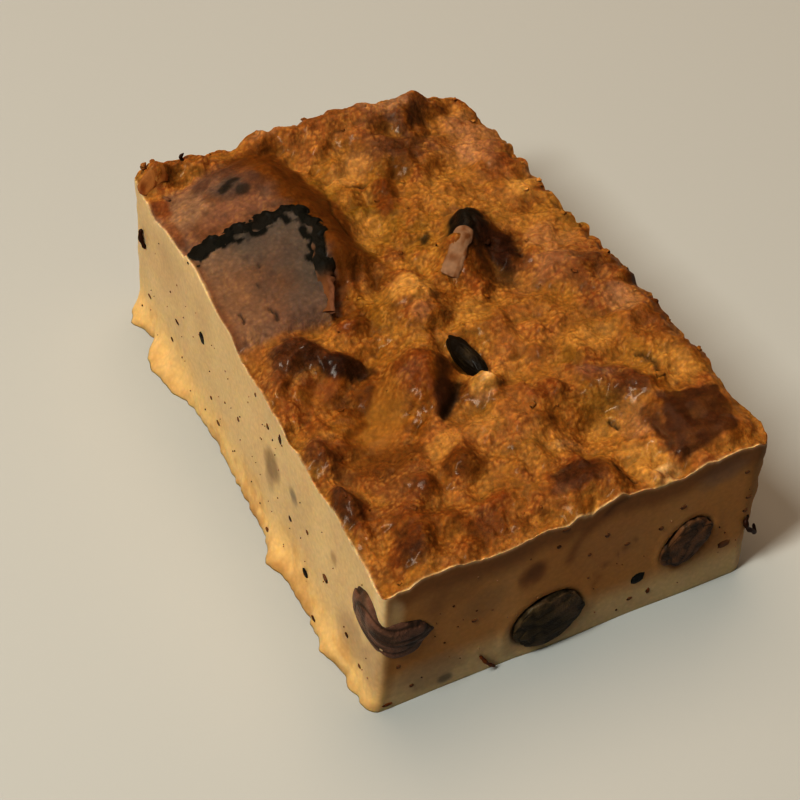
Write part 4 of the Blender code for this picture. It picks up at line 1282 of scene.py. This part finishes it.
def finish_raisin(name, points, faces, tones, folds, fine, gloss_level, node):
    """Paint a raisin: one tone on its ridges, another in its folds and a third as bloom."""
    piece = add_piece(name, points, faces, raisin_finish)
    ridge, fold, bloom = tones
    colour = plain(ridge, len(points))
    colour = blend_tone(colour, fold, smoothstep(folds * 1.2) * 0.7)
    patch = soft_noise(*points.T, 3.0, 7.7)
    colour = blend_tone(colour, bloom, smoothstep((patch + 0.5 * fine) / 0.8) * 0.45)
    dull = soft_noise(*points.T, 1.5, 8.8)
    colour = blend_tone(colour, fold, smoothstep((dull + 0.1) / 0.7) * 0.55)
    paint_food(piece, colour, np.clip(gloss_level + 0.25 * patch, 0, 1), 0.7)
    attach(piece, "root")
    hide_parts(node)


def turned_points(points, degrees, axis):
    """Points turned about Y or Z by an angle, the way that a right-hand screw turns."""
    c, s = math.cos(math.radians(degrees)), math.sin(math.radians(degrees))
    turns = {"Y": ((c, 0, s), (0, 1, 0), (-s, 0, c)), "Z": ((c, -s, 0), (s, c, 0), (0, 0, 1))}
    return points @ np.array(turns[axis]).T


for name, spec, seed, knifed, tones, shine in (
    ("raisin_front", FRONT_RAISIN, 1.0, True, ("raisin green", "raisin black", "raisin bloom"), 0.35),
    ("raisin_right", RIGHT_RAISIN, 2.0, True, ("raisin brown", "raisin black", "raisin bloom"), 0.55),
    ("raisin_top", TOP_RAISIN, 3.0, False, ("raisin black", "raisin black", "raisin green"), 0.6),
):
    ball, ball_faces = ball_grid(RAISIN_AROUND, RAISIN_ALONG)
    ball, folds, fine = wrinkled(ball, seed)
    if knifed:
        flat = -KNIFE_DEPTH + KNIFE_LEFT * (ball[:, 1] + KNIFE_DEPTH)
        ball[:, 1] = np.where(ball[:, 1] < -KNIFE_DEPTH, flat, ball[:, 1])
    placed = turned_points(ball * spec["half"], spec["turn"], "Y" if knifed else "Z") + spec["at"]
    finish_raisin("skin_of_" + name, placed, ball_faces, tones, folds, fine, shine, name)


def fold_round_corner(points):
    """Carry a straight raisin, long in X and thick in Y, round the slab's front left corner.

    Its middle line becomes a hyperbola with one arm along each face, and its thickness is
    laid off along the line's outward normal.
    """
    along_x = points[:, 0]
    root = np.hypot(along_x, FOLD_TIGHTNESS)
    right = (root + along_x) / 2 + FOLDED_RAISIN["deep"]
    back = (root - along_x) / 2 + FOLDED_RAISIN["deep"]
    run_right, run_back = (along_x / root + 1) / 2, (along_x / root - 1) / 2
    length = np.hypot(run_right, run_back)
    corner_x, corner_y = FOLDED_RAISIN["corner"]
    x = corner_x + right - points[:, 1] * run_back / length
    y = corner_y + back + points[:, 1] * run_right / length
    z = FOLDED_RAISIN["up"] + points[:, 2] - FOLD_DROOP * along_x / root
    return np.stack([x, y, z], axis=1)


ball, ball_faces = ball_grid(RAISIN_AROUND, RAISIN_ALONG + 40)
ball, folds, fine = wrinkled(ball, 4.0)
finish_raisin("skin_of_raisin_corner", fold_round_corner(ball * FOLDED_RAISIN["half"]), ball_faces,
              ("raisin wine", "raisin black", "raisin bloom"), folds, fine, 0.8, "raisin_corner")


# The torn slice's rim: the oven charred its free edge black, and it curls up and breaks into
# small fingers. It is one strip, a closed profile carried along the rim.
RIM_PATH = (
    (-32.9, 24.6), (-32.2, 25.1), (-30.0, 27.0), (-27.4, 27.4), (-24.6, 27.8), (-22.0, 26.9),
    (-19.4, 27.1), (-17.0, 27.3), (-13.7, 27.1), (-11.9, 26.0), (-10.5, 22.6), (-9.8, 20.2),
    (-10.8, 16.5), (-12.1, 12.0), (-13.3, 9.2), (-14.5, 6.2), (-15.4, 3.8),
)
RIM_STEP, SMALL_STEP = 0.13, 0.16  # between places along the rim, and along the small scraps
RIM_PROFILE = (
    (-3.4, -0.60), (-2.7, -0.10), (-1.9, 0.08), (-1.0, 0.24), (-0.2, 0.24), (0.4, 0.00),
    (0.75, -0.45), (0.60, -1.00), (0.0, -1.45), (-1.0, -1.75), (-2.2, -1.65), (-3.1, -1.15),
)
RIM_AROUND = 44
RIM_TOP = 34.86  # just under the CAD model's highest place


def cubic(a, b, c, d, f):
    """A smooth cubic from b to c, at a share f of the way, bent by the places before and after."""
    return 0.5 * (2 * b + (c - a) * f + (2 * a - 5 * b + 4 * c - d) * f**2
                  + (3 * b - a - 3 * c + d) * f**3)


def headings(line):
    """Unit directions along a line, one at each of its places."""
    heading = np.gradient(line, axis=0)
    return heading / np.linalg.norm(heading, axis=1)[:, None]


def along_path(places, step):
    """Even places along a smooth line: a cubic through the given ones, resampled by its length."""
    places = np.array(places, float)
    padded = np.concatenate([2 * places[:1] - places[1:2], places, 2 * places[-1:] - places[-2:-1]])
    t = np.linspace(0, len(places) - 1, 40 * len(places))
    i = np.minimum(t.astype(int), len(places) - 2)
    f = (t - i)[:, None]
    line = cubic(padded[i], padded[i + 1], padded[i + 2], padded[i + 3], f)
    run = np.concatenate([[0], np.cumsum(np.linalg.norm(np.diff(line, axis=0), axis=1))])
    even = np.linspace(0, run[-1], int(run[-1] / step) + 2)
    return np.stack([np.interp(even, run, line[:, k]) for k in range(line.shape[1])], axis=1), even


def smooth_loop(places, count):
    """A closed outline through a few places, as that many places: periodic cubic resampling."""
    loop = np.array(places + places[:3], float)
    t = np.linspace(0, len(places), count, endpoint=False)
    i = t.astype(int)
    f = (t - i)[:, None]
    before = np.where(i[:, None] == 0, loop[len(places) - 1], loop[i - 1])
    return cubic(before, loop[i], loop[i + 1], loop[i + 2], f)


def strip_faces(stations, around):
    """Faces of a closed profile carried along a path: rings joined, and a fan over each end."""
    index = np.arange(stations * around).reshape(stations, around)
    return [grid_quads(closed(index)), fan(index[0], stations * around)[:, ::-1],
            fan(index[-1], stations * around + 1)]


rim_line, rim_run = along_path(RIM_PATH, RIM_STEP)
heading = headings(rim_line)
outward = np.stack([-heading[:, 1], heading[:, 0]], axis=1)
profile = smooth_loop(RIM_PROFILE, RIM_AROUND)
run_grid, reach_grid = np.meshgrid(rim_run, profile[:, 0], indexing="ij")
_, rise_grid = np.meshgrid(rim_run, profile[:, 1], indexing="ij")
free = smoothstep((reach_grid + 2.2) / 2.2)
ragged = 0.70 * soft_noise(run_grid, 0.7 * rise_grid, 0 * run_grid, 1.6, 141.0)
ragged = ragged + 0.45 * soft_noise(run_grid, 0.5 * reach_grid, 0 * run_grid, 0.75, 142.0)
taper = smoothstep(run_grid / 1.2) * smoothstep((rim_run[-1] - run_grid) / 9.0)
reach = reach_grid * (0.55 + 0.45 * taper) + free * ragged * taper - 0.15
lift = soft_noise(run_grid, reach_grid, 0 * run_grid, 1.3, 143.0)
lift = (0.50 * lift + 0.20 * soft_noise(run_grid, reach_grid, rise_grid, 0.55, 144.0)) * free
rim_px = rim_line[:, 0][:, None] + outward[:, 0][:, None] * reach
rim_py = rim_line[:, 1][:, None] + outward[:, 1][:, None] * reach
inside_x = np.maximum(rim_px, SLICE_LEFT + 0.9)
base = slice_height(inside_x, rim_py)[0]
base = np.minimum(base, SLICE_TOP_RIM - 0.1)
rim_pz = base + (rise_grid + lift) * (0.4 + 0.6 * taper) - 0.35 * (1 - taper)
rim_pz = np.minimum(rim_pz, RIM_TOP)
rim_points = np.stack([rim_px, rim_py, rim_pz], axis=-1)
rim_ends = np.stack([rim_points[0].mean(axis=0), rim_points[-1].mean(axis=0)])
rim_points = np.concatenate([rim_points.reshape(-1, 3), rim_ends])

char_finish = food_finish("charred_crust", 0.7, 0.8, 0.45, (0.60, 0.40), 0.0, 0.3)
charred_rim = add_piece("charred_rim", rim_points, strip_faces(len(rim_line), RIM_AROUND), char_finish)
rim_x_all, rim_y_all, _ = rim_points.T
on_edge = np.concatenate([reach_grid.ravel(), [0.0, 0.0]])
wander = 0.9 * soft_noise(rim_x_all, rim_y_all, 0 * rim_x_all, 1.3, 91.0)
black = smoothstep((on_edge + 3.3 + 1.3 * wander) / 0.8) * smoothstep((rim_y_all - 8) / 5)
tan_edge = smoothstep((on_edge + 0.9) / 0.6) * (1 - smoothstep((rim_y_all - 7) / 5))
browning = 0.5 + 0.4 * soft_noise(rim_x_all, rim_y_all, 0 * rim_x_all, 2.0, 93.0)
browning = browning + smoothstep((16 - rim_y_all) / 10) * 0.5
rim_colour = blend_tone(plain("grey", len(rim_points)), "brown", browning)
rim_colour = blend_tone(rim_colour, "char", black * 0.97)
rim_colour = blend_tone(rim_colour, "pink tan", tan_edge * 0.7)
paint_food(charred_rim, rim_colour, 0.06 + 0.14 * black, 0.35 + 0.6 * black)
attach(charred_rim, "root")


# Toasted flakes: thin pieces of bread that lie on the crags, close to them all over. Each is a
# flat profile carried along a line and laid on the top.
FLAKES = (
    ("tan_flake", ((12.6, 11.0), (10.4, 8.2), (8.0, 5.6), (5.6, 3.4)), 1.7, 0.42, "brown", "rosy"),
    ("heel_flake", ((-33.2, 47.6), (-30.6, 48.6), (-27.4, 48.6)), 1.1, 0.4, "rust", "orange"),
)
FLAKE_AROUND, FLAKE_LIFT = 40, 0.25
FLAKE_END, FLAKE_SQUARENESS = 0.4, 0.45  # length of its blunt ends, and how flat it is: 1 is an oval


def hugging_strip(line, run, half_wide, thick, lift):
    """A flat oval profile carried along a line and laid on the top, so that it hugs the crumb."""
    heading = headings(line)
    sideways = np.stack([heading[:, 1], -heading[:, 0]], axis=1)
    turn = np.linspace(0, 2 * math.pi, FLAKE_AROUND, endpoint=False)
    run_at, turn_at = np.meshgrid(run, turn, indexing="ij")
    blunt = np.minimum(run_at, run[-1] - run_at) / FLAKE_END
    width = half_wide * np.sqrt(np.clip(blunt, 0.02, 1))
    width = width * (1 + 0.14 * soft_noise(run_at, np.sign(np.cos(turn_at)) * 3, 0 * run_at, 1.6, 151.0))
    off = width * np.sign(np.cos(turn_at)) * np.abs(np.cos(turn_at)) ** FLAKE_SQUARENESS
    x = line[:, 0][:, None] + sideways[:, 0][:, None] * off
    y = line[:, 1][:, None] + sideways[:, 1][:, None] * off
    z = top_height(x, y) * 0.35 + 0.65 * smooth_top(x, y)
    z = z + lift + 0.5 * thick * np.sin(turn_at) * np.sqrt(np.clip(blunt, 0.05, 1))
    points = np.stack([x, y, z], axis=-1)
    ends = np.stack([points[0].mean(axis=0), points[-1].mean(axis=0)])
    return np.concatenate([points.reshape(-1, 3), ends]), strip_faces(len(line), FLAKE_AROUND)


def smooth_top(x, y):
    """The top without its fine relief."""
    return top_height(x, y) - crumb_relief(x, y)[0]


for name, places, half_wide, thick, low_tone, high_tone in FLAKES:
    line, run = along_path(places, SMALL_STEP)
    points, faces = hugging_strip(line, run, half_wide, thick, FLAKE_LIFT)
    flake = add_piece(name, points, faces, char_finish)
    flake_x, flake_y, _ = points.T
    streaks = soft_noise(flake_x + flake_y, 3 * (flake_x - flake_y), 0 * flake_x, 2.2, 153.0)
    colour = blend_tone(plain(low_tone, len(points)), high_tone, 0.62 + 1.1 * streaks)
    paint_food(flake, colour, 0.2, 0.5)
    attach(flake, "root")


# Stalks: bits of fruit stem and skin that the knife dragged out of the cut sides. Each is a thin
# tube along a short bent line, fixed in the custard at one end at least.
STALKS = (
    ("stalk_far_left", ((-33.75, 47.6, 20.8), (-34.15, 47.0, 19.2), (-33.85, 46.0, 17.4)), 0.42, "dark"),
    ("sliver_back_left", ((-23.0, 51.2, 29.6), (-23.8, 51.4, 31.0), (-23.2, 51.3, 31.9)), 0.28, "dark"),
    ("scrap_back_left", ((-30.2, 51.0, 30.0), (-31.0, 51.2, 31.4), (-30.4, 51.3, 32.2)), 0.45, "orange"),
    ("stalk_front_foot", ((-16.5, -52.55, 4.6), (-15.2, -52.9, 2.3), (-13.7, -52.7, 0.5)), 0.30, "rust"),
    ("stalk_curl", ((32.2, -51.5, 13.2), (31.4, -52.6, 12.4), (31.9, -52.9, 11.0), (33.0, -52.7, 9.8),
                    (33.9, -52.2, 8.6), (34.3, -51.2, 9.4)), 0.40, "dark"),
)
STALK_AROUND = 14

for name, places, radius, stalk_tone in STALKS:
    line, run = along_path(places, SMALL_STEP)
    heading = headings(line)
    first = np.cross(heading, (0.3, 0.2, 0.93))
    first /= np.linalg.norm(first, axis=1)[:, None]
    second = np.cross(heading, first)
    turn = np.linspace(0, 2 * math.pi, STALK_AROUND, endpoint=False)
    thick = radius * (1 + 0.35 * soft_noise(run, 0 * run, 0 * run, 0.9, 161.0))
    thick = thick * np.sqrt(np.clip(np.minimum(run, run[-1] - run) / 0.5, 0.1, 1))
    ring = first[:, None] * np.cos(turn)[None, :, None] + second[:, None] * np.sin(turn)[None, :, None]
    points = line[:, None] + ring * thick[:, None, None]
    points = np.concatenate([points.reshape(-1, 3), line[:1], line[-1:]])
    stalk = add_piece(name, points, strip_faces(len(line), STALK_AROUND), raisin_finish)
    paint_food(stalk, plain(stalk_tone, len(points)), 0.4, 0.5)
    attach(stalk, "root")


# Specks: spice and scraps of raisin skin, sliced flush in the cut sides. Those that can be told
# apart are in their own places, as the place along the side, its height, half sizes and tone,
# and finer ones are scattered between them.
LEFT_SPECKS = (
    (18.7, 18.7, 1.15, 1.35, "char"), (30.7, 12.3, 0.95, 0.35, "chocolate"),
    (33.3, 5.7, 0.85, 0.35, "chocolate"), (45.0, 6.7, 0.8, 0.35, "brown"),
    (-14.0, 24.3, 0.55, 1.1, "chocolate"), (-8.7, 22.3, 0.5, 0.6, "brown"),
    (-25.3, 14.0, 0.5, 0.5, "brown"), (3.0, 13.3, 0.45, 0.5, "brown"), (15.3, 7.3, 0.4, 0.4, "brown"),
    (12.1, 4.0, 0.6, 0.5, "brown"), (-12.0, 1.3, 0.7, 0.6, "brown"), (-25.7, 4.7, 0.9, 1.0, "char"),
    (-41.3, 6.7, 0.5, 0.5, "chocolate"), (-32.3, 1.3, 0.7, 0.4, "chocolate"),
    (-4.0, 25.3, 0.35, 0.5, "brown"), (-32.6, 10.8, 0.9, 0.9, "brown"),
    (-46.2, 4.6, 0.5, 0.4, "brown"), (-18.6, 10.4, 0.55, 0.5, "chocolate"),
)
FRONT_SPECKS = (
    (11.9, 8.3, 1.35, 1.3, "char"), (28.0, 8.4, 1.2, 0.8, "brown"), (-17.6, 13.7, 0.5, 0.4, "brown"),
    (-30.5, 9.6, 0.45, 0.45, "brown"), (9.0, 18.1, 0.6, 0.35, "brown"), (15.1, 18.7, 0.5, 0.5, "brown"),
    (18.8, 21.8, 0.6, 0.5, "brown"), (5.1, 22.1, 0.5, 0.5, "brown"), (-2.4, 27.1, 0.8, 0.4, "brown"),
    (-3.5, 23.7, 0.4, 0.4, "chocolate"), (10.8, 3.7, 0.5, 0.4, "brown"), (14.2, 3.9, 0.35, 0.7, "rust"),
    (31.0, 18.4, 0.55, 0.35, "brown"), (31.0, 15.2, 0.5, 0.5, "brown"), (29.9, 24.8, 0.5, 0.4, "brown"),
    (-31.7, 1.2, 0.9, 0.4, "rust"), (-28.2, 3.6, 0.4, 0.4, "brown"), (2.2, 19.0, 0.35, 0.35, "brown"),
)
LOOSE_SPECKS = 110
SPECK_AROUND, SPECK_ALONG = 9, 4
SPECK_THICK = 0.16


def side_place(side, where, height):
    """Points on a cut side: the place along it and its height, set on its leaning, waving plane."""
    if side == "left":
        u, x, y = -0.5 + 0 * where, -WIDTH / 2 + 0 * where, where
        v = y / LENGTH
    else:
        v, y, x = -0.5 + 0 * where, -LENGTH / 2 + 0 * where, where
        u = x / WIDTH
    share = height / top_height(x, y)
    dx, dy = side_shift(u, v, x, y, height, share)
    return np.stack([x + dx, y + dy, height], axis=-1)


def scatter_specks(random):
    """All the specks of both sides: side, place, height, half sizes and tone, as lists."""
    found = [("left", *speck) for speck in LEFT_SPECKS] + [("front", *speck) for speck in FRONT_SPECKS]
    for _ in range(LOOSE_SPECKS):
        side = "left" if random.random() < 0.6 else "front"
        span = 49.0 if side == "left" else 31.0
        size = 0.08 + 0.12 * random.random() ** 2
        found.append((side, random.uniform(-span, span), random.uniform(2.0, 24.0), size,
                      size * random.uniform(0.6, 1.4), random.choice(["brown", "chocolate", "tan"])))
    return found


speck_ball, speck_faces = ball_grid(SPECK_AROUND, SPECK_ALONG)
random = np.random.default_rng(17)
specks = scatter_specks(random)
speck_points, speck_index, speck_colour = [], [], []
for number, (side, where, height, half_a, half_b, speck_tone) in enumerate(specks):
    ragged = 1 + 0.28 * soft_noise(*(speck_ball * 1.7 + number).T, 1.0, 171.0)
    shape = speck_ball * ragged[:, None]
    centre = side_place(side, np.array([where]), np.array([height]))[0]
    if side == "left":
        placed = centre + shape[:, [2, 0, 1]] * (SPECK_THICK, half_a, half_b)
    else:
        placed = centre + shape[:, [0, 2, 1]] * (half_a, SPECK_THICK, half_b)
    speck_index.append(len(speck_ball) * number)
    speck_points.append(placed)
    speck_colour.append(plain(speck_tone, len(placed)))
speck_points = np.concatenate(speck_points)


def repeat_faces(faces, starts):
    """The faces of one small shape, once for each copy of it."""
    starts = np.array(starts)
    return [(f[None] + starts[:, None, None]).reshape(-1, f.shape[1]) for f in faces]


speck_faces = repeat_faces(speck_faces, speck_index)
speck_piece = add_piece("sliced_specks", speck_points, speck_faces, raisin_finish)
paint_food(speck_piece, np.concatenate(speck_colour), 0.3, 0.4)
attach(speck_piece, "root")


# Crumbs: small torn grains of bread that stand up from the browned top, thickest along its two
# far edges. Each is a rough little ball, half sunk in the top, and takes the colour round it.
CRUMBS, EDGE_CRUMBS = 110, 26
CRUMB_AROUND, CRUMB_ALONG = 7, 4


def crumb_places(random):
    """Seeded places for the crumbs, and how big each is: anywhere, and along the far edges."""
    x = random.uniform(-WIDTH / 2 + 1.2, WIDTH / 2 - 0.4, CRUMBS)
    y = random.uniform(-LENGTH / 2 + 1.2, LENGTH / 2 - 0.4, CRUMBS)
    size = 0.22 + 0.40 * random.random(CRUMBS) ** 2.2
    right_y = random.uniform(-LENGTH / 2 + 4, LENGTH / 2 - 9, EDGE_CRUMBS)
    back_x = random.uniform(-WIDTH / 2 + 2, WIDTH / 2 - 9, EDGE_CRUMBS)
    far = random.random(EDGE_CRUMBS)
    on_right = far < 0.62
    edge_x = np.where(on_right, WIDTH / 2 - 0.2 - 1.6 * random.random(EDGE_CRUMBS), back_x)
    edge_y = np.where(on_right, right_y, LENGTH / 2 - 0.2 - 1.6 * random.random(EDGE_CRUMBS))
    edge_size = 0.30 + 0.42 * random.random(EDGE_CRUMBS)
    x, y, size = np.concatenate([x, edge_x]), np.concatenate([y, edge_y]), np.concatenate([size, edge_size])
    keep = crumb_share(x, y) > 0.55
    return x[keep], y[keep], size[keep]


random = np.random.default_rng(29)
crumb_x, crumb_y, crumb_size = crumb_places(random)
crumb_z = top_height(crumb_x, crumb_y)
shift_x, shift_y = side_shift(crumb_x / WIDTH, crumb_y / LENGTH, crumb_x, crumb_y, crumb_z, 1.0)
crumb_ball, crumb_faces = ball_grid(CRUMB_AROUND, CRUMB_ALONG)
count = len(crumb_x)
stretch = random.uniform((0.7, 0.7, 0.35), (1.5, 1.3, 0.7), (count, 3))[:, None] * crumb_size[:, None, None]
bumps = 1 + 0.3 * random.uniform(-1, 1, (count, len(crumb_ball), 1))
spin = random.uniform(0, 2 * math.pi, count)
c, s = np.cos(spin)[:, None], np.sin(spin)[:, None]
shape = crumb_ball[None] * stretch * bumps
shape = np.stack([shape[..., 0] * c - shape[..., 1] * s, shape[..., 0] * s + shape[..., 1] * c,
                  shape[..., 2]], axis=-1)
crumb_middle = np.stack([crumb_x + shift_x, crumb_y + shift_y, crumb_z], axis=1)
crumb_points = (shape + crumb_middle[:, None]).reshape(-1, 3)
crumb_piece = add_piece("crumbs", crumb_points,
                        repeat_faces(crumb_faces, np.arange(count) * len(crumb_ball)), custard_finish)
lighter = random.uniform(0.8, 1.2, count)[:, None]
crumb_colour = np.repeat(top_tone(crumb_x, crumb_y) * lighter, len(crumb_ball), axis=0)
crumb_gloss = np.repeat(random.uniform(0.1, 0.7, count), len(crumb_ball))
paint_food(crumb_piece, np.clip(crumb_colour, 0, 0.9), crumb_gloss, 0.6)
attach(crumb_piece, "root")
